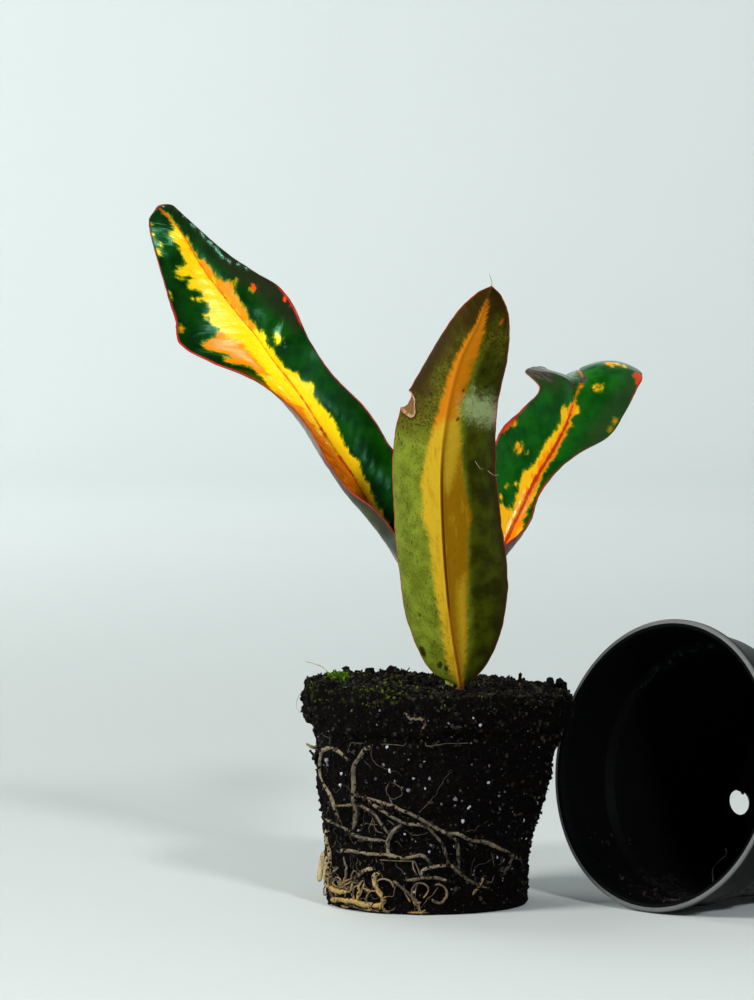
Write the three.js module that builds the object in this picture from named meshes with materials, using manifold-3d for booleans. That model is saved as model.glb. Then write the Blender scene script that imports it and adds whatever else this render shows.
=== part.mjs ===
// Young croton taken out of its pot: three variegated leaves and a short stem on a bare root ball,
// with the empty nursery pot lying on its side next to it.
// Millimetres, +Z up. The origin is the centre of the root ball's flat bottom, and the side of the
// plant that faces -Y is its front. Angles around the ball are in degrees from the front, positive
// towards +X.
import * as THREE from 'three';
import { mergeVertices } from 'three/addons/utils/BufferGeometryUtils.js';
import Module from 'manifold-3d';

const wasm = await Module();
wasm.setup();

// ---------- driving dimensions ----------
const GAP = 0.3; // clearance between neighbouring solids

// Root ball: the soil keeps the shape of the pot's inside. Each ring is [height, radius, lean to +X].
const BALL_RINGS = [
  [0, 20.6, 0], [0.8, 21.1, 0], [5, 21.1, 0], [9, 21.2, 0], [13, 21.5, 0.2], [16.5, 22.3, 0.5],
  [20, 23.1, 0.7], [26, 24.3, 1.4], [31, 25.0, 1.7], [35.6, 25.6, 2.0], [36.6, 26.0, 2.1],
  [37.5, 27.4, 2.1], [40.5, 27.9, 2.2], [43.6, 27.7, 2.2],
];
const BALL_SIDES = 44;
const SOIL_TOP = 44.8; // height of the soil at the middle of its top
const SOIL_SLOPE = -0.045; // the top falls towards +X
const SOIL_TOP_RADII = [26.6, 18, 9];
const SOIL_TOP_CENTRE = 2.2;
const LEDGE_FROM = 35;
const LEDGE_TO = 38;

// Stem
const STEM_FOOT = new THREE.Vector3(6, -2, 33);
const STEM_PROFILE = [ // [radius, height above the foot]
  [0, 0], [1.6, 0], [2.3, 1.5], [2.3, 13], [2.55, 14], [2.3, 15], [2.2, 17.2], [2.4, 18], [2.1, 19],
  [1.8, 21.5], [1.9, 22.3], [1.5, 23.3], [1.3, 25.5], [0.7, 28], [0, 29.2],
];

// Leaves
const BLADE_EDGE = 0.62; // thickness at the margin
const BLADE_MIDDLE = 0.9; // thickness beside the midrib
const RIB_HEIGHT = 0.7; // the midrib stands out of the underside by this much
const HALF_STEPS = [0.09, 0.36, 0.68, 1]; // where the columns of half a blade lie, midrib to margin
const PETIOLE_RADIUS = 1.15;

// Each leaf runs from its base to its tip along three rails: midrib, and left and right margin as
// seen from the front. A bulge curves half a blade, in mm, towards the front if positive. The rib
// side says which face is the underside: 1 for the one that faces front, -1 for the other.
const LEAF_FRONT = {
  name: 'leaf_front',
  colour: 0x7f8a2a,
  ribSide: 1,
  rows: 26,
  midrib: [
    [6.7, -11.6, 45.7], [5.9, -13.6, 50.3], [4.5, -16, 59.3], [3.5, -17.7, 68.8], [2.8, -18.5, 80.1],
    [2.7, -18.5, 91.2], [3.8, -17.8, 101.3], [6.2, -16.3, 112], [9.2, -14.5, 119.4], [12.7, -11.9, 127.1],
  ],
  left: [
    [5.6, -11.2, 45.9], [0.4, -10.5, 49.2], [-4.1, -10.5, 58.9], [-5.7, -11, 68.4], [-6.7, -11.5, 79.7],
    [-7.1, -11.5, 92.9], [-5.4, -11.5, 102.5], [1.3, -12, 114.5], [6.6, -12.5, 122.8], [11.4, -11.7, 127.1],
  ],
  right: [
    [7.9, -11, 45.9], [12.1, -9, 50.3], [15.1, -8.5, 57.7], [16.3, -8.5, 67.2], [14.9, -9.5, 78.5],
    [13.6, -10.5, 90.8], [13.8, -11.5, 101.7], [16.1, -11, 113.5], [16.2, -10.9, 121.6], [14, -11.3, 126.8],
  ],
  leftBulge: [0, 0.8, 1.2, 1.3, 1.3, 1.2, 1.0, 0.8, 0.4, 0],
  rightBulge: [0, 0.8, 1.2, 1.3, 1.3, 1.2, 1.0, 0.8, 0.4, 0],
  petiole: [[5.6, -8.6, 39.2], [6.2, -10.2, 42.2], [6.6, -11.3, 45.4], [6.3, -12.8, 48.6]],
};
const FRONT_NOTCH = { centre: [-5.6, -12, 103.4], radius: 2.1, length: 14 };

const LEAF_LEFT = {
  name: 'leaf_left',
  colour: 0x0f5c12,
  ribSide: -1,
  rows: 30,
  midrib: [
    [-1.4, 1, 64.4], [-6.3, 3, 71.3], [-10.4, 5, 78.7], [-13.4, 6.3, 84], [-16.3, 7.5, 88.7],
    [-20.8, 9, 95.3], [-25.2, 10.4, 102.5], [-30.2, 11.6, 109.5], [-35.2, 12.8, 116.2], [-38.6, 13.2, 120.1],
    [-42.3, 13.6, 124.9], [-46.5, 13.5, 130.5], [-51.7, 12.3, 139], [-54.8, 11, 143.2],
  ],
  left: [
    [-2, 0.3, 65.3], [-5.9, -1.8, 74.9], [-10.4, -2.2, 80.9], [-16, -1, 85], [-20.3, 0.5, 90.5],
    [-24.1, 3.5, 96.9], [-28.5, 6.5, 102.2], [-36, 8.4, 107.6], [-45.8, 9, 111.7], [-51.4, 8.2, 114.8],
    [-51.6, 8, 119.4], [-54.2, 8.5, 126.4], [-57.6, 11, 138.6], [-55.9, 10.8, 143.1],
  ],
  right: [
    [-0.5, 0.6, 64.9], [1.3, -0.3, 73.8], [0.1, 0.5, 82], [-3.6, 1.5, 89.2], [-7.6, 2.5, 93.9],
    [-12.7, 4.6, 101.6], [-18.5, 7, 107.3], [-23.5, 8.4, 114.2], [-27.1, 9.8, 121.4], [-30, 10.8, 126],
    [-36, 12.3, 130], [-41.5, 13, 133.6], [-49.7, 12.2, 140.8], [-53.9, 11.2, 143.7],
  ],
  leftBulge: [0, -1.1, -1.9, -1.7, -1.6, -2.1, -2, -1.4, -0.8, -0.6, -1, -0.8, -0.3, 0],
  rightBulge: [0, -0.6, -1, -1.2, -1.2, -1, -0.5, 0, 0.5, 1, 1, 0.8, 0.3, 0],
  petiole: [[6, -2, 47.6], [4, -0.8, 50.5], [1.7, 0.1, 55], [0.1, 0.7, 60], [-1.5, 1.2, 64.6], [-3.6, 2, 67.6]],
};

const LEAF_RIGHT = {
  name: 'leaf_right',
  colour: 0x146012,
  ribSide: -1,
  rows: 28,
  midrib: [
    [11.7, 3, 63.9], [14.4, 4, 70], [16.5, 5, 74.7], [19, 7, 79.8], [21.8, 9.5, 85.5],
    [24.8, 12, 90.6], [27.8, 15, 95.4], [30, 18, 100.6], [31.4, 22, 104.6], [32.8, 26, 107.2],
    [32.4, 31, 108.8], [32.9, 38, 108.5], [34.8, 47, 107.7], [38, 55, 105.9],
  ],
  left: [
    [11, 2, 64.8], [11.9, 1.5, 73.1], [11.6, 2, 79.3], [12.1, 3, 85], [13.1, 4, 91.6],
    [15.2, 5.5, 97.1], [18.6, 8, 100.7], [21.8, 11, 104.4], [20.9, 14, 108], [24.2, 21, 109.2],
    [26.2, 29, 107.3], [28.6, 38, 106.6], [31.2, 47.5, 105.5], [37.3, 55, 105.5],
  ],
  right: [
    [12.5, 2, 64.1], [15.5, 0, 73], [18.9, 1.5, 76], [21.4, 4, 78.9], [22.8, 7, 83.1],
    [27.1, 12, 88.5], [32, 16, 92.3], [39.2, 22.5, 96.2], [42.1, 26, 100.9], [45.1, 31, 106],
    [46, 35, 107.8], [44.7, 43, 107.8], [43.7, 49, 106.7], [38.8, 55, 105.7],
  ],
  leftBulge: [0, -0.5, -0.8, -1, -1, -0.8, -0.5, 0.4, 2.8, -0.8, -1, 0.4, 0.5, 0],
  rightBulge: [0, -1, -1.2, -1.2, -1.1, -1, -0.8, 0, 0.8, 1.5, 2, 1.8, 1, 0],
  petiole: [[6, -2, 50.6], [7.5, -0.9, 53.2], [9.1, 0.5, 57], [10.5, 1.8, 60.8], [11.9, 2.9, 64.2], [13, 3.5, 67]],
};

// Roots on the ball's surface. A route is [width, [angle, height], ...]; each list is one body.
const ROOT_SIDES = 5;
const ROOT_STEP = 2.8; // length of one step of a root
const ROOT_PROUD = 0.25; // share of its width by which a root's middle lies outside the soil
const FRONT_ROOTS = [
  [1.0, [-45, 30.8], [-49, 32.1], [-54, 33], [-60, 33.1], [-68, 32.1], [-73, 29.5], [-73, 26.7], [-68, 24.8],
    [-62, 23.2], [-58, 21.7], [-55, 19.4], [-53, 17.2]],
  [1.2, [-31, 34.9], [-36, 33.6], [-39, 31.7], [-42, 30.2], [-43, 25.5], [-43, 23.1], [-42, 20.7],
    [-43, 18.2], [-45, 16.4]],
  [0.85, [-57, 21.3], [-47, 21.8], [-41, 22.1], [-35, 21.3], [-30, 20.2], [-27, 18.6], [-22, 16.2]],
  [1.05, [-43, 24.2], [-27, 23], [-16, 21.6], [-8, 20.3], [0, 18.5], [7, 17], [14, 16.7], [22, 15.2],
    [31, 14.6], [41, 13.1], [53, 11.1], [65, 9.4]],
  [0.9, [-35, 23.4], [-23, 20.6], [-14, 18.9], [-4, 18.3], [3, 16.1], [8, 13.3], [11, 10.1]],
  [0.85, [7, 17], [14, 15.1], [16, 12.3], [17, 9]],
  [0.95, [11, 10.1], [2, 9.8], [-3, 9.1], [-5, 7.3]],
  [0.85, [11, 10.5], [16, 8.8], [21, 7.4], [27, 6.1], [35, 5]],
  [0.95, [-14, 18.9], [-18, 17.9], [-21, 16.6], [-23, 15], [-23, 13.2], [-22, 11.2]],
  [0.95, [-66, 11.3], [-49, 12.2], [-37, 12.1], [-22, 12], [-13, 11.6], [-4, 12.2], [0, 11], [4, 9.8]],
  [0.95, [-72, 18], [-61, 17.6], [-52, 16.9], [-40, 15.3], [-33, 15.1], [-23, 14.9]],
  [0.85, [-14, 7], [-7, 7.4], [-1, 7.7], [6, 7.4], [11, 6.8]],
  [0.85, [25, 3.7], [28, 5.2], [31, 6.8], [33, 7.6]],
  [0.85, [54, 11.1], [51, 9.8], [47, 8.4], [42, 8.4]],
];
const BASE_ROOTS = [
  [1.3, [-74, 1], [-59, 1.7], [-47, 1.8], [-34, 1.5], [-27, 1.7], [-25, 2.8], [-28, 4.2], [-31, 6.1],
    [-31, 7.6], [-28, 8.1], [-26, 7]],
  [1.2, [-73, 16], [-77, 13.4], [-72, 10.9], [-71, 8.2], [-73, 5.9], [-73, 4]],
  [1.5, [-86, 4.6], [-71, 3.9], [-60, 3.4], [-48, 3.9]],
  [1.0, [-46, 1.8], [-48, 4.4], [-47, 6], [-40, 8.1], [-35, 9], [-30, 9]],
  [0.9, [-43, 1.8], [-42, 5.1], [-40, 6.2], [-38, 4.6], [-33, 4.2]],
];
const CURL_ROOT = [
  [0.8, [-15, 41.8], [-12, 40.6], [-8, 40.6], [-6, 39.4], [-8, 38.4]],
];
const BACK_ROOTS = [
  [1.1, [108, 26.8], [113, 24], [124, 21.5], [138, 20], [152, 17.5], [166, 16.5], [181, 14], [196, 13.4],
    [212, 11], [226, 10.4]],
  [1.0, [150, 33.5], [153, 29], [150, 24.5], [153, 20.5], [152, 16.5], [147, 12.5], [150, 8.5], [156, 5]],
  [0.95, [212, 33], [207, 28], [210, 23], [205, 18.5], [207, 14.5], [203, 9], [196, 6.2]],
  [0.85, [181, 14.2], [176, 10.5], [180, 7], [190, 4.4], [204, 3.4], [218, 3.9]],
  [0.85, [124, 21.6], [121, 16.5], [125, 12], [120, 8], [112, 5.4]],
  [0.9, [226, 10.4], [236, 13.2], [247, 13.8], [256, 17.2], [262, 22]],
];

// Pot: an outline as [radius, depth from the mouth], outside first, then the inside
const POT_OUTSIDE = [[30, 0], [30, 1.2], [28.75, 1.7], [27.95, 12], [26.6, 13.2], [21.9, 47.6], [21.2, 49.3], [20.3, 50]];
const POT_FOOT = [[14.5, 50], [13.6, 49.4], [0, 49.4]];
const POT_INSIDE = [[0, 48.5], [19.6, 48.5], [20.6, 47.5], [25.7, 13.6], [27.05, 12.4], [27.9, 1.4], [28.4, 0]];
const POT_SIDES = 40;
const POT_CONTACT_RIM = POT_OUTSIDE[1];
const POT_CONTACT_FOOT = POT_OUTSIDE[5];
const POT_MOUTH = { x: 47.7, y: -13.7 };
const POT_YAW = THREE.MathUtils.degToRad(45.8); // its bottom points this far from +Y towards +X
const DRAIN = { count: 6, radius: 2.6, ring: 20.3, depth: 47.5, length: 8, first: 16 }; // in its lower edge

// ---------- solids ----------
const vector = ([x, y, z]) => new THREE.Vector3(x, y, z);
const curve = (points) => new THREE.CatmullRomCurve3(points.map(vector));

/** Closed three.js geometry as a manifold solid. */
function solidOf(geometry) {
  const bare = geometry.clone();
  bare.deleteAttribute('normal');
  bare.deleteAttribute('uv');
  const merged = mergeVertices(bare, 1e-4);
  return new wasm.Manifold(new wasm.Mesh({
    numProp: 3,
    vertProperties: merged.attributes.position.array,
    triVerts: new Uint32Array(merged.index.array),
  }));
}

/** Manifold solid as a named three.js mesh. */
function meshOf(name, solid, material) {
  const { vertProperties, triVerts } = solid.getMesh();
  const geometry = new THREE.BufferGeometry();
  geometry.setAttribute('position', new THREE.BufferAttribute(new Float32Array(vertProperties), 3));
  geometry.setIndex(new THREE.BufferAttribute(new Uint32Array(triVerts), 1));
  const flat = geometry.toNonIndexed();
  flat.computeVertexNormals();
  const mesh = new THREE.Mesh(flat, material);
  mesh.name = name;
  return mesh;
}

const unionOf = (solids) => solids.reduce((whole, solid) => whole.add(solid));

/** Tube with closed ends along a curve. */
function tube(path, radius, sides, step) {
  const section = new THREE.Shape();
  for (let i = 0; i < sides; i += 1) {
    const turn = (2 * Math.PI * i) / sides;
    const corner = [radius * Math.cos(turn), radius * Math.sin(turn)];
    if (i === 0) section.moveTo(...corner);
    else section.lineTo(...corner);
  }
  section.closePath();
  const steps = Math.max(2, Math.ceil(path.getLength() / step));
  return solidOf(new THREE.ExtrudeGeometry(section, { steps, extrudePath: path, bevelEnabled: false }));
}

// ---------- root ball ----------
/** Value of one column of BALL_RINGS at a height: 1 is the radius, 2 the lean. */
function ringValue(height, column) {
  const upper = BALL_RINGS.findIndex(([z]) => z >= height);
  if (upper <= 0) return (upper === 0 ? BALL_RINGS[0] : BALL_RINGS.at(-1))[column];
  const [below, above] = [BALL_RINGS[upper - 1], BALL_RINGS[upper]];
  const share = (height - below[0]) / (above[0] - below[0]);
  return THREE.MathUtils.lerp(below[column], above[column], share);
}

/** Low lumps of the crumbly side, in mm; none at the bottom edge, so that it stands flat. */
function lumps(turn, height) {
  const fade = THREE.MathUtils.smoothstep(height, 1, 5);
  const waves = 0.2 * Math.sin(5 * turn + 0.35 * height) + 0.16 * Math.sin(8 * turn - 0.5 * height + 1)
    + 0.12 * Math.sin(13 * turn + 0.9 * height + 2);
  return fade * waves;
}

/** Point on the side of the ball, or outside it by a given distance. */
function onBall(degrees, height, outside = 0) {
  const turn = THREE.MathUtils.degToRad(degrees);
  const radius = ringValue(height, 1) + lumps(turn, height) + outside;
  return new THREE.Vector3(radius * Math.sin(turn) + ringValue(height, 2), -radius * Math.cos(turn), height);
}

/** Height of the soil's uneven top. */
function soilHeight(x, y) {
  const unevenness = 0.28 * Math.sin(0.42 * x + 0.2 * y) + 0.22 * Math.sin(0.61 * y - 0.33 * x + 1.3);
  return SOIL_TOP + SOIL_SLOPE * (x - SOIL_TOP_CENTRE) + unevenness;
}

/** How far the ragged ledge below the rim's print moves up or down. */
function raggedness(turn) {
  return 0.5 * Math.sin(4 * turn + 0.6) + 0.35 * Math.sin(9 * turn);
}

function ballSolid() {
  const outline = [[0, 0], ...BALL_RINGS.map(([z, radius]) => [radius, z])];
  outline.push(...SOIL_TOP_RADII.map((radius) => [radius, SOIL_TOP]), [0, SOIL_TOP]);
  const lathe = new THREE.LatheGeometry(outline.map(([r, z]) => new THREE.Vector2(r, z)), BALL_SIDES);
  lathe.rotateX(Math.PI / 2);
  const places = lathe.attributes.position;
  for (let i = 0; i < places.count; i += 1) {
    const [x, y, z] = [places.getX(i), places.getY(i), places.getZ(i)];
    const radius = Math.hypot(x, y);
    const turn = radius > 0 ? Math.atan2(x, -y) : 0;
    const top = z > BALL_RINGS.at(-1)[0] + 0.1;
    const grown = radius + (top ? 0 : lumps(turn, z));
    const newX = grown * Math.sin(turn) + (top ? SOIL_TOP_CENTRE : ringValue(z, 2));
    const newY = -grown * Math.cos(turn);
    const ledge = z > LEDGE_FROM && z < LEDGE_TO ? raggedness(turn) : 0;
    places.setXYZ(i, newX, newY, top ? soilHeight(newX, newY) : z + (radius > 0 ? ledge : 0));
  }
  return solidOf(lathe);
}

// ---------- roots ----------
/** Roots of a list as one solid, thicker by a margin where it cuts their grooves. */
function rootSolid(routes, margin = 0) {
  return unionOf(routes.map(([width, ...stops]) => {
    const radius = width / 2;
    const lowest = radius + 0.05;
    const points = stops.map(([degrees, height]) => {
      return onBall(degrees, Math.max(height, lowest), width * ROOT_PROUD);
    });
    return tube(new THREE.CatmullRomCurve3(points), radius + margin, ROOT_SIDES, ROOT_STEP);
  }));
}

// ---------- stem ----------
/** Stem with its bud, thicker and longer at the foot by a margin where it cuts its hole. */
function stemSolid(margin = 0) {
  const outline = STEM_PROFILE.map(([radius, height]) => {
    return new THREE.Vector2(radius > 0 ? radius + margin : 0, height > 0 ? height : -margin);
  });
  const lathe = new THREE.LatheGeometry(outline, 12);
  lathe.rotateX(Math.PI / 2);
  lathe.translate(STEM_FOOT.x, STEM_FOOT.y, STEM_FOOT.z);
  return solidOf(lathe);
}

// ---------- leaves ----------
/** Value of a list at a share of its length. */
function along(values, share) {
  const place = share * (values.length - 1);
  const low = Math.min(Math.floor(place), values.length - 2);
  return THREE.MathUtils.lerp(values[low], values[low + 1], place - low);
}

/** One row of a blade's middle surface, left margin to right margin. */
function bladeRow(leaf, rails, share) {
  const middle = rails.midrib.getPoint(share);
  const tangent = rails.midrib.getTangent(share);
  const half = (margin, outward, bulge) => {
    const chord = margin.clone().sub(middle);
    const front = chord.clone().multiplyScalar(outward).cross(tangent).normalize();
    const control = middle.clone().addScaledVector(chord, 0.5).addScaledVector(front, bulge);
    const arc = new THREE.QuadraticBezierCurve3(middle, control, margin);
    return HALF_STEPS.map((step) => arc.getPoint(step));
  };
  const left = half(rails.left.getPoint(share), -1, 2 * along(leaf.leftBulge, share));
  const right = half(rails.right.getPoint(share), 1, 2 * along(leaf.rightBulge, share));
  return [...left.reverse(), middle, ...right];
}

/** Closed sheet around a grid of points; both faces are split into triangles alike. */
function bladeSolid(leaf) {
  const rails = { midrib: curve(leaf.midrib), left: curve(leaf.left), right: curve(leaf.right) };
  const grid = [];
  for (let row = 0; row <= leaf.rows; row += 1) grid.push(bladeRow(leaf, rails, row / leaf.rows));
  const [rows, columns] = [grid.length, grid[0].length];
  const centre = (columns - 1) / 2;
  const at = (row, column) => {
    return grid[THREE.MathUtils.clamp(row, 0, rows - 1)][THREE.MathUtils.clamp(column, 0, columns - 1)];
  };
  const places = [];
  for (const face of [1, -1]) {
    for (let row = 0; row < rows; row += 1) {
      for (let column = 0; column < columns; column += 1) {
        const across = at(row, column + 1).clone().sub(at(row, column - 1));
        const lengthwise = at(row + 1, column).clone().sub(at(row - 1, column));
        const front = across.cross(lengthwise).normalize();
        const share = column === centre ? 0 : HALF_STEPS[Math.abs(column - centre) - 1];
        const rib = column === centre && face === leaf.ribSide ? RIB_HEIGHT : 0;
        const half = THREE.MathUtils.lerp(BLADE_MIDDLE, BLADE_EDGE, share) / 2 + rib;
        places.push(...at(row, column).clone().addScaledVector(front, face * half));
      }
    }
  }
  const back = rows * columns;
  const index = [];
  for (let row = 0; row < rows - 1; row += 1) {
    for (let column = 0; column < columns - 1; column += 1) {
      const [a, b] = [row * columns + column, row * columns + column + 1];
      const [c, d] = [b + columns, a + columns];
      const halves = column < centre ? [[a, b, d], [b, c, d]] : [[a, b, c], [a, c, d]];
      for (const [i, j, k] of halves) index.push(i, j, k, back + i, back + k, back + j);
    }
  }
  const border = [];
  for (let column = 0; column < columns - 1; column += 1) border.push(column);
  for (let row = 0; row < rows - 1; row += 1) border.push(row * columns + columns - 1);
  for (let column = columns - 1; column > 0; column -= 1) border.push((rows - 1) * columns + column);
  for (let row = rows - 1; row > 0; row -= 1) border.push(row * columns);
  border.forEach((corner, i) => {
    const next = border[(i + 1) % border.length];
    index.push(corner, back + corner, next, next, back + corner, back + next);
  });
  const sheet = new THREE.BufferGeometry();
  sheet.setAttribute('position', new THREE.Float32BufferAttribute(places, 3));
  sheet.setIndex(index);
  return solidOf(sheet);
}

/** Blade and leaf stalk as one body. */
function leafSolid(leaf) {
  return bladeSolid(leaf).add(tube(curve(leaf.petiole), PETIOLE_RADIUS, 8, 2.5));
}

function notchSolid({ centre, radius, length }) {
  const bite = new THREE.CylinderGeometry(radius, radius, length, 10);
  bite.translate(...centre);
  return solidOf(bite);
}

// ---------- pot ----------
/** Frame of the pot on its side: it rests on the edge of its rim and on its foot. */
function potPlace() {
  const [[rimRadius, rimDepth], [footRadius, footDepth]] = [POT_CONTACT_RIM, POT_CONTACT_FOOT];
  const tilt = Math.atan2(rimRadius - footRadius, footDepth - rimDepth);
  const axis = new THREE.Vector3(
    Math.sin(POT_YAW) * Math.cos(tilt), Math.cos(POT_YAW) * Math.cos(tilt), -Math.sin(tilt));
  const down = new THREE.Vector3(0, 0, -1).addScaledVector(axis, axis.z).normalize();
  const mouthHeight = rimRadius * Math.cos(tilt) + rimDepth * Math.sin(tilt);
  const place = new THREE.Matrix4().makeBasis(axis.clone().cross(down), axis, down);
  return place.setPosition(POT_MOUTH.x, POT_MOUTH.y, mouthHeight);
}

function potSolid() {
  const outline = [...POT_OUTSIDE, ...POT_FOOT, ...POT_INSIDE, POT_OUTSIDE[0]];
  const wall = new THREE.LatheGeometry(outline.map(([r, depth]) => new THREE.Vector2(r, depth)), POT_SIDES);
  let pot = solidOf(wall);
  for (let i = 0; i < DRAIN.count; i += 1) {
    const hole = new THREE.CylinderGeometry(DRAIN.radius, DRAIN.radius, DRAIN.length, 12);
    hole.rotateX(Math.PI / 4);
    hole.translate(0, DRAIN.depth, DRAIN.ring);
    hole.rotateY(THREE.MathUtils.degToRad(DRAIN.first + (360 / DRAIN.count) * i));
    pot = pot.subtract(solidOf(hole));
  }
  return pot;
}

// ---------- assembly ----------
const finish = (color, roughness) => new THREE.MeshStandardMaterial({ color, roughness, metalness: 0 });
const SOIL = finish(0x1c140d, 1);
const ROOT = finish(0xb9a468, 0.7);
const BARK = finish(0x5d6b2c, 0.7);
const PLASTIC = finish(0x101112, 0.4);

const plant = new THREE.Group();
const rootSets = { roots_front: FRONT_ROOTS, roots_base: BASE_ROOTS, root_curl: CURL_ROOT, roots_back: BACK_ROOTS };
let ball = ballSolid();
for (const [name, routes] of Object.entries(rootSets)) {
  ball = ball.subtract(rootSolid(routes, GAP));
  plant.add(meshOf(name, rootSolid(routes), ROOT));
}
ball = ball.subtract(stemSolid(GAP));
ball = ball.subtract(tube(curve(LEAF_FRONT.petiole), PETIOLE_RADIUS + GAP, 8, 2.5));
plant.add(meshOf('root_ball', ball, SOIL));
plant.add(meshOf('stem', stemSolid(), BARK));
for (const leaf of [LEAF_FRONT, LEAF_LEFT, LEAF_RIGHT]) {
  let solid = leafSolid(leaf).subtract(stemSolid(GAP));
  if (leaf === LEAF_FRONT) solid = solid.subtract(notchSolid(FRONT_NOTCH));
  plant.add(meshOf(leaf.name, solid, finish(leaf.colour, 0.35)));
}

const pot = meshOf('pot', potSolid(), PLASTIC);
pot.applyMatrix4(potPlace());
plant.add(pot);

export default plant;
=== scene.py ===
"""Young croton lifted out of its nursery pot: three variegated leaves on a bare root ball, pot beside it.

The tables are in millimetres and degrees, in the frame of the part: +Z up, origin at the centre of the
root ball's flat bottom, front at -Y. Meshes are made in metres.
"""
from __future__ import annotations

import logging
import math
import random
from collections.abc import Callable, Sequence
from dataclasses import dataclass, field
from enum import Enum

import bmesh
import bpy
import numpy as np
from mathutils import Matrix, Vector, noise
from mathutils.kdtree import KDTree


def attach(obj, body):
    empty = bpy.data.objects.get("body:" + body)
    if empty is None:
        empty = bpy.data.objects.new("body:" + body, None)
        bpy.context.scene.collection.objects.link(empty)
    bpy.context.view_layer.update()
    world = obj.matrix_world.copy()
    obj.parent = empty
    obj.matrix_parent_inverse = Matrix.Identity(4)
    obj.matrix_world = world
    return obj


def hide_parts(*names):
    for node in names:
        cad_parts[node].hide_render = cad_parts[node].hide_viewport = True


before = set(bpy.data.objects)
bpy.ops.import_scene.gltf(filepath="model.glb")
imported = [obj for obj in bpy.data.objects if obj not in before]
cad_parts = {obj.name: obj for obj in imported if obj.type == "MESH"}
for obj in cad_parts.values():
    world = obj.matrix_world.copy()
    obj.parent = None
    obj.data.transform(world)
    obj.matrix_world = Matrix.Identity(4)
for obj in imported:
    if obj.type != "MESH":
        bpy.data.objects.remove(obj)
LOG = logging.getLogger("croton")
MM = 0.001
UP = Vector((0, 0, 1))
VEIN_LAG = 0.62  # how far a side vein falls back for each millimetre from the midrib
VEIN_STEP = 2.7  # from one side vein to the next
LEAF_DEPTH = 0.0006  # how far light spreads inside a leaf, in metres
ROUND_END = 1.6  # steps of a bar's path that its round end takes
TINY = 1e-12

Point = tuple[float, float, float]
Spot = tuple[int, int, float]  # hundredths across, thousandths along, radius
Outline = tuple[tuple[float, float], ...]
Route = tuple[float, float, Outline]  # width, paleness, stops as (angle, height)
Thread = tuple[tuple[Point, ...], float, float]  # points, half width, thickness as a share of the width
Colour = tuple[float, float, float]
Socket = bpy.types.NodeSocket
Number = Socket | float
Material = bpy.types.Material
Piece = bpy.types.Object
Work = bmesh.types.BMesh
Corner = bmesh.types.BMVert


class Slot(Enum):
    """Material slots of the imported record."""

    SOIL = "soil"
    ROOT = "root"
    ROOT_BASE = "root_base"
    STEM = "stem"
    UNDERSIDE = "leaf_underside"
    TOP = "leaf_top"
    PLASTIC = "pot_plastic"


class Face(Enum):
    """Which face of a blade looks at the front, as the sign of its normal there."""

    UPPER_IN_FRONT = 1
    UNDER_IN_FRONT = -1


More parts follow.
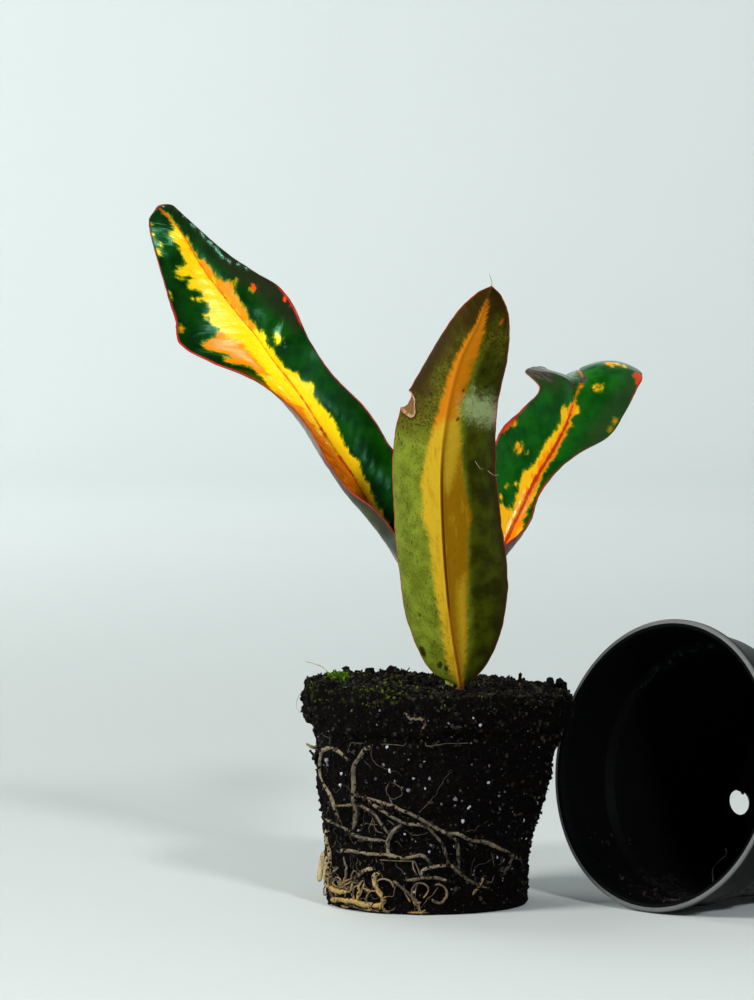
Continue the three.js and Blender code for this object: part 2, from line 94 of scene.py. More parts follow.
# ---- node trees ----
class Shade:
    """Node tree of one material around a Principled shader."""

    def __init__(self, name: str, **constants: float | Colour) -> None:
        """Starts the material.

        Args:
            name: Name of the material.
            constants: Values of the shader's own sockets, with _ for a space.
        """
        self.material = bpy.data.materials.new(name)
        self.material.use_nodes = True
        self.tree = self.material.node_tree
        self.tree.nodes.clear()
        self.shader = self.tree.nodes.new("ShaderNodeBsdfPrincipled")
        output = self.tree.nodes.new("ShaderNodeOutputMaterial")
        self.tree.links.new(self.shader.outputs[0], output.inputs["Surface"])
        for key, value in constants.items():
            self.put(self.shader.inputs[key.replace("_", " ")], value)
        self.places: Socket | None = None

    def put(self, socket: Socket, value: Number | Colour) -> None:
        """Links a socket, or sets it where the value is a number or a colour.

        Args:
            socket: Input of a node.
            value: What goes into it.
        """
        if isinstance(value, bpy.types.NodeSocket):
            self.tree.links.new(value, socket)
        elif isinstance(value, tuple):
            socket.default_value = (*value, 1.0) if len(socket.default_value) == 4 else value
        else:
            socket.default_value = value

    def node(self, kind: str, settings: dict[str, object] | None = None,
             numbered: dict[int, Number | Colour] | None = None, **named: Number | Colour) -> bpy.types.Node:
        """Adds a node.

        Args:
            kind: Class of the node.
            settings: Properties of the node.
            numbered: Values of its inputs by number.
            named: Values of its inputs by name, with _ for a space.

        Returns:
            The node.
        """
        node = self.tree.nodes.new(kind)
        for key, setting in (settings or {}).items():
            setattr(node, key, setting)
        for number, value in (numbered or {}).items():
            self.put(node.inputs[number], value)
        for name, value in named.items():
            self.put(node.inputs[name.replace("_", " ")], value)
        return node

    def millimetres(self, stretch: Point = (1.0, 1.0, 1.0)) -> Socket:
        """Object coordinates in millimetres, each axis times its stretch."""
        self.places = self.places or self.node("ShaderNodeTexCoord").outputs["Object"]
        scale = tuple(1000.0 * s for s in stretch)
        return self.node("ShaderNodeMapping", Vector=self.places, Scale=scale).outputs[0]

    def value(self, name: str) -> Socket:
        """Number kept on the mesh under a name."""
        return self.node("ShaderNodeAttribute", {"attribute_name": name}).outputs["Fac"]

    def math(self, operation: str, a: Number, b: Number = 0.0) -> Socket:
        """One sum on two numbers."""
        return self.node("ShaderNodeMath", {"operation": operation}, {0: a, 1: b}).outputs[0]

    def plus(self, a: Number, b: Number) -> Socket:
        """Sum of two numbers."""
        return self.math("ADD", a, b)

    def minus(self, a: Number, b: Number) -> Socket:
        """Difference of two numbers."""
        return self.math("SUBTRACT", a, b)

    def times(self, a: Number, b: Number) -> Socket:
        """Product of two numbers."""
        return self.math("MULTIPLY", a, b)

    def swing(self, value: Socket, reach: float) -> Socket:
        """Noise between 0 and 1 made to swing around 0, times its reach."""
        return self.times(self.minus(value, 0.5), reach)

    def rise(self, value: Socket, low: float, high: float, bottom: float = 0.0, top: float = 1.0) -> Socket:
        """Smooth step of a number from bottom to top between low and high."""
        return self.node("ShaderNodeMapRange", {"interpolation_type": "SMOOTHSTEP"}, Value=value,
                         From_Min=low, From_Max=high, To_Min=bottom, To_Max=top).outputs[0]

    def along_and_across(self, along: float, across: float) -> Socket:
        """Place on a blade in the direction of its side veins.

        Args:
            along: Factor of the way towards the tip.
            across: Factor of the way from the midrib.

        Returns:
            The place.
        """
        lag = self.times(self.math("ABSOLUTE", self.value("across")), VEIN_LAG)
        run = self.times(self.minus(self.value("run"), lag), along)
        side = self.times(self.value("across"), across)
        return self.node("ShaderNodeCombineXYZ", X=run, Y=side).outputs[0]

    def noise(self, places: Socket, scale: float, detail: float = 3.0, rough: float = 0.55,
              bend: float = 0.0) -> Socket:
        """Soft noise between 0 and 1, with finer waves by its detail, drawn aside by its bend."""
        return self.node("ShaderNodeTexNoise", Vector=places, Scale=scale, Detail=detail,
                         Roughness=rough, Distortion=bend).outputs["Fac"]

    def vein_noise(self, along: float, across: float, detail: float = 3.0, rough: float = 0.55) -> Socket:
        """Noise on a blade, drawn out along its side veins."""
        return self.noise(self.along_and_across(along, across), 1.0, detail, rough)

    def cells(self, places: Socket, scale: float, feature: str = "F1") -> Socket:
        """Distance to the nearest of scattered points, or to the border between their cells."""
        return self.node("ShaderNodeTexVoronoi", {"feature": feature}, Vector=places,
                         Scale=scale).outputs["Distance"]

    def netting(self, places: Socket, scale: float) -> Socket:
        """Distance to the fine net between scattered points."""
        return self.cells(places, scale, "DISTANCE_TO_EDGE")

    def mix(self, share: Number, first: Socket | Colour, second: Socket | Colour) -> Socket:
        """Second colour over the first, by a share."""
        return self.node("ShaderNodeMix", {"data_type": "RGBA"}, {0: share, 6: first, 7: second}).outputs[2]

    def ramp(self, value: Socket, *stops: tuple[float, Colour]) -> Socket:
        """Colour of a number between stops.

        Args:
            value: The number.
            stops: Numbers and their colours.

        Returns:
            The colour.
        """
        node = self.node("ShaderNodeValToRGB", Fac=value)
        elements = node.color_ramp.elements
        while len(elements) < len(stops):
            elements.new(0.5)
        for element, (place, colour) in zip(elements, stops):
            element.position = place
            element.color = (*colour, 1.0)
        return node.outputs[0]

    def bump(self, height: Socket, distance: float, strength: float = 1.0,
             under: Socket | None = None) -> Socket:
        """Fine relief, its distance in millimetres, on top of another relief if one is given."""
        below = {} if under is None else {"Normal": under}
        return self.node("ShaderNodeBump", Height=height, Distance=distance * MM, Strength=strength,
                         **below).outputs[0]

    def done(self, colour: Socket, roughness: Socket | None = None, normal: Socket | None = None) -> Material:
        """Links the shader.

        Args:
            colour: Colour of the surface.
            roughness: Roughness, where it varies.
            normal: Relief, where there is one.

        Returns:
            The material.
        """
        self.put(self.shader.inputs["Base Color"], colour)
        if roughness is not None:
            self.put(self.shader.inputs["Roughness"], roughness)
        if normal is not None:
            self.put(self.shader.inputs["Normal"], normal)
        return self.material


# ---- finishes ----
@dataclass(frozen=True)
class UpperFace:
    """Glossy upper face of a leaf: green with a yellow middle, orange patches and a red margin."""

    name: str
    deep: Colour = (0.0004, 0.014, 0.0004)
    fresh: Colour = (0.0022, 0.042, 0.0008)
    # Dark colour of the painted shade; the curled flap and the margin use it as their dark colour too.
    dusk: Colour = (0.013, 0.011, 0.006)
    halo: Colour = (0.10, 0.17, 0.001)
    yellow: Colour = (0.86, 0.53, 0.004)
    gold: Colour = (0.78, 0.215, 0.002)
    rust: Colour = (0.66, 0.05, 0.003)
    vein: Colour = (0.56, 0.060, 0.003)
    streak: Colour = (0.46, 0.030, 0.002)
    margin: Colour = (0.46, 0.006, 0.010)
    curl: Colour = (0.090, 0.048, 0.056)
    shaded_yellow: Colour = (0.36, 0.075, 0.002)
    sheen: Colour = (0.34, 1.0, 0.62)

    def material(self) -> Material:
        """Builds the node tree.

        Returns:
            The material.
        """
        s = Shade(self.name, Specular_IOR_Level=0.16, Specular_Tint=self.sheen,
                  Subsurface_Weight=0.04, Subsurface_Scale=LEAF_DEPTH)
        mm = s.millimetres()
        cloud = s.noise(mm, 0.22, 4)
        grit = s.noise(mm, 2.6, 3, 0.6)
        veins = s.vein_noise(1.5, 0.38, 4, 0.6)
        blobs = s.vein_noise(0.7, 0.5)
        ragged = s.plus(s.plus(s.swing(grit, 0.9), s.swing(veins, 0.5)), s.swing(blobs, 2.4))
        green = s.mix(s.rise(cloud, 0.35, 0.68), self.deep, self.fresh)
        green = s.mix(s.rise(veins, 0.52, 0.75, 0.0, 0.4), green, self.fresh)
        # Painted shade: the green darkens inside the shade mark.
        shadow = s.times(s.rise(s.value("dusk"), -1.5, 2.5), s.rise(cloud, 0.25, 0.7, 0.45, 0.95))
        green = s.mix(shadow, green, self.dusk)
        gold = s.plus(s.value("orange"), s.times(ragged, 1.6))
        warm = s.mix(s.rise(gold, -0.9, 0.25), self.yellow, self.gold)
        blotch = s.vein_noise(0.6, 0.9, 4, 0.65)
        warm = s.mix(s.rise(blotch, 0.52, 0.74, 0.0, 0.6), warm, self.gold)
        # Painted shade on the yellow, which turns dark orange inside the shade mark.
        shade_on_yellow = s.times(s.rise(s.value("dusk"), -2.0, 1.5), s.rise(blotch, 0.3, 0.6, 0.35, 1.0))
        warm = s.mix(shade_on_yellow, warm, self.shaded_yellow)
        inside = s.plus(s.value("yellow"), ragged)
        halo = s.mix(s.rise(inside, -0.6, 0.0), green, self.halo)
        colour = s.mix(s.rise(inside, -0.22, 0.36), halo, warm)
        red = s.plus(s.value("red"), ragged)
        colour = s.mix(s.rise(red, -0.2, 0.4), colour, self.rust)
        line = s.minus(1.0, s.rise(s.math("ABSOLUTE", s.value("across")), 0.1, 0.34))
        patchy = s.rise(s.vein_noise(0.5, 0.1, 2), 0.35, 0.6, 0.45, 1.0)
        colour = s.mix(s.times(line, patchy), colour, self.vein)
        streak = s.plus(s.value("streak"), s.times(ragged, 0.4))
        colour = s.mix(s.rise(streak, -0.12, 0.22), colour, self.streak)
        curled = s.plus(s.value("curl"), s.times(ragged, 0.6))
        curl = s.mix(s.rise(veins, 0.35, 0.65), self.dusk, self.curl)
        colour = s.mix(s.rise(curled, -0.2, 0.3), colour, curl)
        rim = s.minus(s.value("edge"), s.times(grit, 0.35))
        # The margin is red where it blushes, and elsewhere takes the dark painted-shade colour.
        red_rim = s.mix(s.rise(s.value("blush"), -1.2, 0.8), self.dusk, self.margin)
        colour = s.mix(s.rise(rim, 0.02, 0.26, 0.9, 0.0), colour, red_rim)
        relief = s.bump(s.vein_noise(2.3, 0.55), 0.13, 0.42)
        relief = s.bump(s.netting(mm, 7.0), 0.012, 0.5, relief)
        rough = s.rise(s.noise(mm, 0.7, 4), 0.25, 0.75, 0.11, 0.22)
        return s.done(colour, rough, relief)


@dataclass(frozen=True)
class Underside:
    """Matt underside of a leaf: pale green with a soft yellow middle, a red midrib and specks."""

    name: str
    deep: Colour = (0.056, 0.086, 0.006)
    fresh: Colour = (0.122, 0.165, 0.014)
    shaded: Colour = (0.009, 0.011, 0.0003)
    shaded_fresh: Colour = (0.036, 0.044, 0.001)
    yellow: Colour = (0.36, 0.225, 0.010)
    gold: Colour = (0.20, 0.092, 0.001)
    rib: Colour = (0.070, 0.016, 0.002)
    brown: Colour = (0.016, 0.008, 0.001)
    olive: Colour = (0.064, 0.066, 0.003)
    rust: Colour = (0.36, 0.110, 0.002)
    speck: Colour = (0.008, 0.004, 0.001)
    # Painted sheen: silvery patches on the underside.
    bloom: Colour = (0.23, 0.29, 0.12)
    margin: Colour = (0.20, 0.014, 0.004)
    tan: Colour = (0.30, 0.20, 0.14)
    red: Colour = (0.40, 0.07, 0.004)
    rib_foot: Colour = (0.17, 0.045, 0.004)
    scorch: Colour = (0.022, 0.006, 0.004)
    horn: Colour = (0.36, 0.235, 0.12)
    dull_horn: Colour = (0.14, 0.070, 0.026)
    horn_speck: Colour = (0.085, 0.036, 0.016)
    gloss: float = 0.1
    sheen: Colour = (1.0, 0.95, 0.15)
    roughness: tuple[float, float] = (0.42, 0.62)

    def material(self) -> Material:
        """Builds the node tree.

        Returns:
            The material.
        """
        s = Shade(self.name, Specular_IOR_Level=self.gloss, Specular_Tint=self.sheen, Subsurface_Weight=0.05,
                  Subsurface_Scale=LEAF_DEPTH)
        mm = s.millimetres()
        cloud = s.noise(mm, 0.3, 4)
        grit = s.noise(mm, 2.2, 4, 0.6)
        veins = s.vein_noise(1.1, 0.35, 4, 0.6)
        # Painted shade: inside the shade mark, the right half of the front leaf takes the dark shaded greens.
        shade = s.rise(s.value("dusk"), -1.4, 1.4)
        green = s.mix(s.rise(cloud, 0.32, 0.7), s.mix(shade, self.deep, self.shaded),
                      s.mix(shade, self.fresh, self.shaded_fresh))
        netting = s.rise(s.netting(mm, 1.5), 0.0, 0.12, 0.16, 0.0)
        green = s.mix(netting, green, s.mix(shade, self.yellow, self.olive))
        # Brown along the right margin, laid only inside the painted shade.
        browned = s.times(shade, s.rise(s.value("edge"), 0.3, 3.2, 0.7, 0.0))
        green = s.mix(browned, green, self.brown)
        soft = s.plus(s.value("yellow"), s.plus(s.swing(grit, 1.3), s.swing(veins, 2.2)))
        # Right of the midrib the stripe turns gold: partly its own colour, partly painted shade.
        warm = s.mix(s.rise(s.value("across"), -0.25, 0.55), self.yellow, self.gold)
        mottle = s.vein_noise(0.22, 0.6, 5, 0.6)
        warm = s.mix(s.rise(mottle, 0.5, 0.7, 0.0, 0.5), warm, self.gold)
        warm = s.mix(s.rise(mottle, 0.28, 0.47, 0.42, 0.0), warm, self.yellow)
        # Painted light: the glow patches bring the stripe back to yellow.
        lit = s.plus(s.value("glow"), s.swing(grit, 2.0))
        warm = s.mix(s.rise(lit, -1.2, 1.2, 0.0, 0.9), warm, self.yellow)
        colour = s.mix(s.rise(soft, -0.7, 0.7), green, warm)
        # Towards the tip the underside turns brown-olive, its own colour, and is also made darker as painted
        # shade where the top bends back.
        aged = s.plus(s.value("aged"), s.swing(cloud, 9.0))
        drab = s.mix(s.rise(aged, 2.0, 9.0), self.olive, self.brown)
        drab = s.mix(s.rise(grit, 0.42, 0.66), drab, self.brown)
        old = s.mix(s.rise(soft, -0.6, 0.5), drab, self.rust)
        colour = s.mix(s.rise(aged, -2.2, 1.6), colour, old)
        flecks = s.minus(s.cells(s.along_and_across(0.6, 1.15), 1.0), s.times(grit, 0.22))
        many = s.rise(s.noise(mm, 0.16, 2), 0.38, 0.72)
        specks = s.value("specks")
        where = s.times(many, s.rise(specks, -1.5, 1.5, 0.2, 1.0))
        small = s.times(s.rise(flecks, 0.05, 0.17, 1.0, 0.0), where)
        colour = s.mix(small, colour, self.speck)
        pores = s.minus(s.cells(s.along_and_across(1.3, 1.9), 1.0), s.times(grit, 0.3))
        tiny = s.times(s.rise(pores, -0.02, 0.08, 0.8, 0.0), s.rise(specks, -1.5, 1.5, 0.15, 1.0))
        colour = s.mix(tiny, colour, self.speck)
        blots = s.plus(s.value("blots"), s.swing(grit, 1.6))
        colour = s.mix(s.rise(blots, -0.1, 0.4, 0.0, 0.9), colour, self.speck)
        # Painted sheen as silvery patches, turning tan towards the margin.
        patchy = s.plus(s.swing(grit, 4.5), s.swing(s.noise(mm, 0.8, 4, 0.65), 5.0))
        pale = s.plus(s.value("bloom"), patchy)
        tan = s.mix(s.rise(s.value("edge"), 0.4, 2.4, 1.0, 0.0), self.bloom, self.tan)
        colour = s.mix(s.rise(pale, -1.8, 1.9, 0.0, 0.85), colour, tan)
        spotted = s.plus(s.value("red"), s.swing(grit, 1.2))
        colour = s.mix(s.rise(spotted, -0.2, 0.6, 0.0, 0.8), colour, self.red)
        line = s.rise(s.math("ABSOLUTE", s.value("across")), 0.08, 0.34, 1.0, 0.0)
        fading = s.rise(s.value("run"), 40.0, 66.0, 1.0, 0.2)
        rib = s.mix(s.rise(s.value("blush"), -2.5, 1.0), self.rib, self.rib_foot)
        colour = s.mix(s.times(line, fading), colour, rib)
        scar = s.plus(s.value("scar"), s.swing(grit, 0.3))
        colour = s.mix(s.rise(scar, -0.55, -0.12), colour, self.scorch)
        horn = s.mix(s.rise(scar, 0.2, 0.8), self.horn, self.dull_horn)
        horn = s.mix(s.rise(grit, 0.42, 0.62, 0.0, 0.7), horn, self.horn_speck)
        colour = s.mix(s.rise(scar, -0.06, 0.1), colour, horn)
        rim = s.minus(s.value("edge"), s.times(grit, 0.3))
        colour = s.mix(s.rise(rim, 0.0, 0.3, 0.85, 0.0), colour, self.margin)
        relief = s.bump(s.vein_noise(2.0, 0.6, 3, 0.5), 0.12, 0.5)
        relief = s.bump(s.netting(mm, 1.5), 0.04, 0.4, relief)
        return s.done(colour, s.rise(grit, 0.2, 0.8, *self.roughness), relief)


@dataclass(frozen=True)
class Rim:
    """Cut edge of a leaf."""

    name: str
    first: Colour = (0.34, 0.012, 0.010)
    second: Colour = (0.10, 0.010, 0.006)

    def material(self) -> Material:
        """Builds the node tree.

        Returns:
            The material.
        """
        s = Shade(self.name, Specular_IOR_Level=0.4)
        mm = s.millimetres()
        colour = s.mix(s.rise(s.noise(mm, 0.35, 4), 0.35, 0.65), self.first, self.second)
        return s.done(colour, s.rise(s.noise(mm, 2.0), 0.2, 0.8, 0.3, 0.5), s.bump(s.noise(mm, 5.0), 0.02))


@dataclass(frozen=True)
class Bark:
    """Skin of stem and leaf stalks, with pale pores and brown cork."""

    name: str
    green: Colour = (0.17, 0.20, 0.030)
    cork: Colour = (0.075, 0.042, 0.018)
    pore: Colour = (0.36, 0.29, 0.16)

    def material(self) -> Material:
        """Builds the node tree.

        Returns:
            The material.
        """
        s = Shade(self.name, Specular_IOR_Level=0.35)
        mm = s.millimetres((1.0, 1.0, 0.35))
        colour = s.mix(s.rise(s.noise(mm, 0.9, 5), 0.38, 0.66), self.green, self.cork)
        pores = s.rise(s.cells(s.millimetres((1.0, 1.0, 0.6)), 1.1), 0.08, 0.16, 1.0, 0.0)
        colour = s.mix(s.times(pores, 0.8), colour, self.pore)
        relief = s.bump(s.noise(mm, 3.5, 4), 0.12, 0.7)
        relief = s.bump(pores, 0.08, 0.6, relief)
        return s.done(colour, s.rise(s.noise(mm, 1.5), 0.3, 0.7, 0.45, 0.7), relief)


@dataclass(frozen=True)
class Peat:
    """Wet, nearly black potting soil, with some moss on its upper edge."""

    name: str
    dark: Colour = (0.0008, 0.0006, 0.0006)
    brown: Colour = (0.011, 0.006, 0.004)
    straw: Colour = (0.034, 0.020, 0.010)
    dark_moss: Colour = (0.006, 0.010, 0.001)
    moss: Colour = (0.050, 0.060, 0.004)

    def material(self) -> Material:
        """Builds the node tree.

        Returns:
            The material.
        """
        s = Shade(self.name, Specular_IOR_Level=0.04)
        mm = s.millimetres()
        grit = s.noise(mm, 1.8, 6, 0.65)
        colour = s.mix(s.rise(grit, 0.5, 0.76), self.dark, self.brown)
        straws = s.noise(s.millimetres((0.6, 0.6, 2.6)), 1.3, 3, 0.6, 1.5)
        colour = s.mix(s.rise(straws, 0.66, 0.74, 0.0, 0.8), colour, self.straw)
        mossy = s.times(s.value("moss"), s.rise(s.noise(mm, 0.7, 5), 0.54, 0.66))
        colour = s.mix(mossy, colour, s.mix(s.rise(grit, 0.45, 0.65), self.dark_moss, self.moss))
        relief = s.bump(s.noise(mm, 1.6, 6, 0.7), 0.55, 0.9)
        relief = s.bump(s.cells(mm, 3.2), 0.16, 0.6, relief)
        return s.done(colour, s.rise(grit, 0.3, 0.7, 0.75, 0.98), relief)


@dataclass(frozen=True)
class Grain:
    """Loose grains, each with a tone of its own between two colours."""

    name: str
    first: Colour
    second: Colour
    third: Colour
    roughness: float = 0.85
    grit: float = 3.0

    def material(self) -> Material:
        """Builds the node tree.

        Returns:
            The material.
        """
        s = Shade(self.name, Specular_IOR_Level=0.08, Roughness=self.roughness)
        mm = s.millimetres()
        colour = s.ramp(s.value("tone"), (0.0, self.first), (0.55, self.second), (1.0, self.third))
        fine = s.noise(mm, self.grit, 4, 0.6)
        colour = s.mix(s.rise(fine, 0.3, 0.7, 0.55, 0.0), colour, self.first)
        return s.done(colour, None, s.bump(fine, 0.12, 0.8))


@dataclass(frozen=True)
class RootSkin:
    """Cream to brown skin of the roots, each as pale as its own number says, more orange low down."""

    name: str
    cream: Colour = (0.185, 0.145, 0.085)
    dull: Colour = (0.024, 0.019, 0.014)
    orange: Colour = (0.27, 0.145, 0.022)
    stain: Colour = (0.010, 0.006, 0.003)

    def material(self) -> Material:
        """Builds the node tree.

        Returns:
            The material.
        """
        s = Shade(self.name, Specular_IOR_Level=0.25, Subsurface_Weight=0.04, Subsurface_Scale=0.0004)
        mm = s.millimetres()
        height = s.node("ShaderNodeSeparateXYZ", Vector=mm).outputs[2]
        soft = s.noise(mm, 0.55, 4)
        pale = s.plus(s.value("pale"), s.swing(soft, 1.3))
        colour = s.mix(s.rise(pale, 0.0, 1.05), self.dull, self.cream)
        low = s.plus(height, s.times(soft, 6.0))
        warm = s.times(s.rise(low, 6.0, 12.0, 0.85, 0.0), s.rise(pale, 0.1, 0.9))
        colour = s.mix(warm, colour, self.orange)
        dirt = s.noise(mm, 1.5, 5, 0.7)
        colour = s.mix(s.rise(dirt, 0.46, 0.74, 0.0, 0.85), colour, self.stain)
        crusted = s.noise(mm, 0.62, 5, 0.7)
        colour = s.mix(s.rise(crusted, 0.54, 0.7, 0.0, 0.75), colour, self.stain)
        relief = s.bump(s.noise(mm, 3.8, 4), 0.14, 0.8)
        return s.done(colour, s.rise(dirt, 0.3, 0.7, 0.5, 0.85), relief)


@dataclass(frozen=True)
class PotPlastic:
    """Thin black moulded plastic with fine scratches, dust and a greyed rim."""

    name: str
    body: Colour = (0.0012, 0.0013, 0.0016)
    dust: Colour = (0.010, 0.010, 0.011)
    grey: Colour = (0.078, 0.082, 0.080)
    crust: Colour = (0.007, 0.006, 0.006)
    scuff: Colour = (0.020, 0.022, 0.026)
    roughness: float = 0.36
    dusty: float = 0.3
    gloss: float = 0.22
    lip: bool = False

    def material(self) -> Material:
        """Builds the node tree.

        Returns:
            The material.
        """
        s = Shade(self.name, Specular_IOR_Level=self.gloss)
        mm = s.millimetres()
        cloud = s.noise(mm, 0.16, 5, 0.6)
        fine = s.noise(mm, 2.2, 5, 0.62)
        haze = s.times(s.rise(cloud, 0.42, 0.72), s.rise(fine, 0.35, 0.72, 0.0, self.dusty))
        colour = s.mix(haze, self.grey if self.lip else self.body, self.dust)
        scratch = s.noise(s.millimetres((0.5, 0.9, 5.0)), 0.8, 2, 0.4, 0.6)
        line = s.times(s.rise(scratch, 0.66, 0.69), s.rise(cloud, 0.5, 0.7))
        colour = s.mix(s.times(line, 0.5), colour, self.dust)
        wear = s.times(s.value("wear"), s.rise(fine, 0.3, 0.6, 0.5, 1.0))
        colour = s.mix(wear, colour, self.grey)
        crust = s.times(s.value("soiled"), s.rise(s.noise(mm, 0.8, 5, 0.65), 0.46, 0.6))
        colour = s.mix(crust, colour, self.crust)
        marks = s.times(s.value("marked"), s.rise(s.noise(mm, 0.55, 5, 0.7), 0.52, 0.62))
        colour = s.mix(marks, colour, self.scuff)
        relief = s.bump(s.noise(mm, 0.9, 3), 0.05, 0.4)
        relief = s.bump(fine, 0.02, 0.5, relief)
        rough = s.plus(s.rise(fine, 0.25, 0.75, self.roughness - 0.06, self.roughness + 0.1),
                       s.times(crust, 0.4))
        return s.done(colour, rough, relief)


@dataclass(frozen=True)
class FloorPaint:
    """Pale matt floor of the studio, lighter with distance: painted light that brightens the far wall."""

    name: str
    near: Colour = (0.49, 0.52, 0.51)
    far: Colour = (0.565, 0.60, 0.59)

    def material(self) -> Material:
        """Builds the node tree.

        Returns:
            The material.
        """
        s = Shade(self.name, Specular_IOR_Level=0.1, Roughness=0.9)
        mm = s.millimetres()
        reach = s.node("ShaderNodeVectorMath", {"operation": "LENGTH"}, Vector=mm).outputs["Value"]
        # Painted light: lighter from the part out to the far wall.
        colour = s.mix(s.rise(reach, 250.0, 1500.0), self.near, self.far)
        return s.done(s.mix(s.rise(s.noise(mm, 0.004, 2), 0.3, 0.7, 0.0, 0.1), colour, self.near))


# ---- mesh tools ----
@dataclass(frozen=True)
class Rail:
    """Smooth line through points, the same curve as the part's own rails."""

    points: Sequence[Sequence[float]]

    def at(self, share: float) -> np.ndarray:
        """Point at a share of the line's length in spans.

        Args:
            share: 0 at the first point, 1 at the last.

        Returns:
            The point.
        """
        stops = np.array(self.points, float)
        place = share * (len(stops) - 1)
        span = min(int(place), len(stops) - 2)
        weight = place - span
        second, third = stops[span], stops[span + 1]
        first = stops[span - 1] if span else 2 * second - third
        fourth = stops[span + 2] if span + 2 < len(stops) else 2 * third - second
        steps = [math.sqrt(np.linalg.norm(b - a)) or 1.0
                 for a, b in ((first, second), (second, third), (third, fourth))]
        leave = ((second - first) / steps[0] - (third - first) / (steps[0] + steps[1])
                 + (third - second) / steps[1]) * steps[1]
        reach = ((third - second) / steps[1] - (fourth - second) / (steps[1] + steps[2])
                 + (fourth - third) / steps[2]) * steps[1]
        return (second + leave * weight + (3 * (third - second) - 2 * leave - reach) * weight ** 2
                + (2 * (second - third) + leave + reach) * weight ** 3)

    def direction(self, share: float) -> np.ndarray:
        """Unit direction of the line at a share."""
        step = self.at(min(share + 1e-4, 1.0)) - self.at(max(share - 1e-4, 0.0))
        return step / np.linalg.norm(step)

    def evenly(self, step: float) -> list[Vector]:
        """Points along the line.

        Args:
            step: About how far they are apart.

        Returns:
            The points, both ends included.
        """
        dense = [self.at(i / 400) for i in range(401)]
        steps = [np.linalg.norm(b - a) for a, b in zip(dense, dense[1:])]
        lengths = np.concatenate([[0.0], np.cumsum(steps)])
        count = max(6, round(lengths[-1] / step))
        wanted = np.linspace(0.0, lengths[-1], count + 1)
        table = np.array(dense)
        return [Vector(point) for point in
                np.stack([np.interp(wanted, lengths, table[:, axis]) for axis in range(3)], -1)]


def smooth(value: float, low: float, high: float) -> float:
    """Smooth step of a number from 0 to 1 between low and high."""
    share = min(max((value - low) / (high - low), 0.0), 1.0)
    return share * share * (3.0 - 2.0 * share)


def inside(places: np.ndarray, outline: np.ndarray) -> np.ndarray:
    """Distance of places from an outline's border, positive inside it.

    Args:
        places: Flat places, one row each.
        outline: Corners of a closed outline.

    Returns:
        One distance for each place.
    """
    best = np.full(len(places), 1e9)
    within = np.zeros(len(places), bool)
    for start, end in zip(outline, np.roll(outline, -1, axis=0)):
        edge = end - start
        share = np.clip((places - start) @ edge / max(edge @ edge, TINY), 0.0, 1.0)
        best = np.minimum(best, np.linalg.norm(places - start - share[:, None] * edge, axis=1))
        level = (start[1] > places[:, 1]) != (end[1] > places[:, 1])
        rise = edge[1] if abs(edge[1]) > TINY else TINY
        within ^= level & (places[:, 0] < start[0] + (places[:, 1] - start[1]) / rise * edge[0])
    return np.where(within, best, -best)


def finish_mesh(name: str, bm: Work, materials: Sequence[Material], smooth_faces: bool = True) -> Piece:
    """Turns mesh work in metres into an object of the scene.

    Args:
        name: Name of the piece.
        bm: The mesh work, freed here.
        materials: Materials in the order of the faces' numbers.
        smooth_faces: Whether faces are shaded smooth.

    Returns:
        The object, riding on the part.
    """
    bmesh.ops.recalc_face_normals(bm, faces=bm.faces[:])
    for face in bm.faces:
        face.smooth = smooth_faces
    mesh = bpy.data.meshes.new(name)
    bm.to_mesh(mesh)
    bm.free()
    for material in materials:
        mesh.materials.append(material)
    piece = bpy.data.objects.new(name, mesh)
    bpy.context.scene.collection.objects.link(piece)
    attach(piece, "root")
    return piece


def report(*pieces: Piece) -> None:
    """Tells the log the name and the number of faces of each piece."""
    for piece in pieces:
        LOG.info("%s: %d faces", piece.name, len(piece.data.polygons))


def keep_numbers(piece: Piece, numbers: dict[str, np.ndarray]) -> None:
    """Keeps one number for each vertex under each name, for the materials."""
    for name, values in numbers.items():
        layer = piece.data.attributes.new(name, "FLOAT", "POINT")
        layer.data.foreach_set("value", np.asarray(values, np.float32))


def scatter(chance: random.Random, spread: float = 1.0) -> Vector:
    """Random step, as likely each way."""
    return Vector([chance.gauss(0, spread) for _ in range(3)])


def bar(bm: Work, path: Sequence[Vector], radius: Callable[[float], float], sides: int = 8,
        flat: float = 1.0, away: Vector | None = None) -> list[Corner]:
    """Adds a closed bar along a path.

    Args:
        bm: Mesh work in metres.
        path: Points in millimetres.
        radius: Radius in millimetres at a share of the path.
        sides: Number of sides.
        flat: Thickness across the first direction, as a share of the width.
        away: Direction that the flat side faces, if it matters.

    Returns:
        The new vertices.
    """
    last = len(path) - 1
    made = bmesh.ops.create_grid(bm, x_segments=sides, y_segments=last, size=1.0)["verts"]
    up = (away or Vector((0.31, 0.17, 0.93))).copy()
    rings = []
    for i, point in enumerate(path):
        heading = (path[min(i + 1, last)] - path[max(i - 1, 0)]).normalized()
        up = (up - heading * up.dot(heading)).normalized()
        share = i / last
        to_end = min(share, 1 - share) * last / ROUND_END
        end = math.sqrt(max(0.0, 1 - (1 - to_end) ** 2)) if to_end < 1 else 1.0
        rings.append((point, up.copy(), heading.cross(up), radius(share) * end))
    for vert in made:
        turn = round((vert.co.x + 1) / 2 * sides) % sides * 2 * math.pi / sides
        point, up, side, reach = rings[round((vert.co.y + 1) / 2 * last)]
        vert.co = (point + up * (math.cos(turn) * reach * flat) + side * (math.sin(turn) * reach)) * MM
    bmesh.ops.remove_doubles(bm, verts=made, dist=1e-8)
    return [vert for vert in made if vert.is_valid]


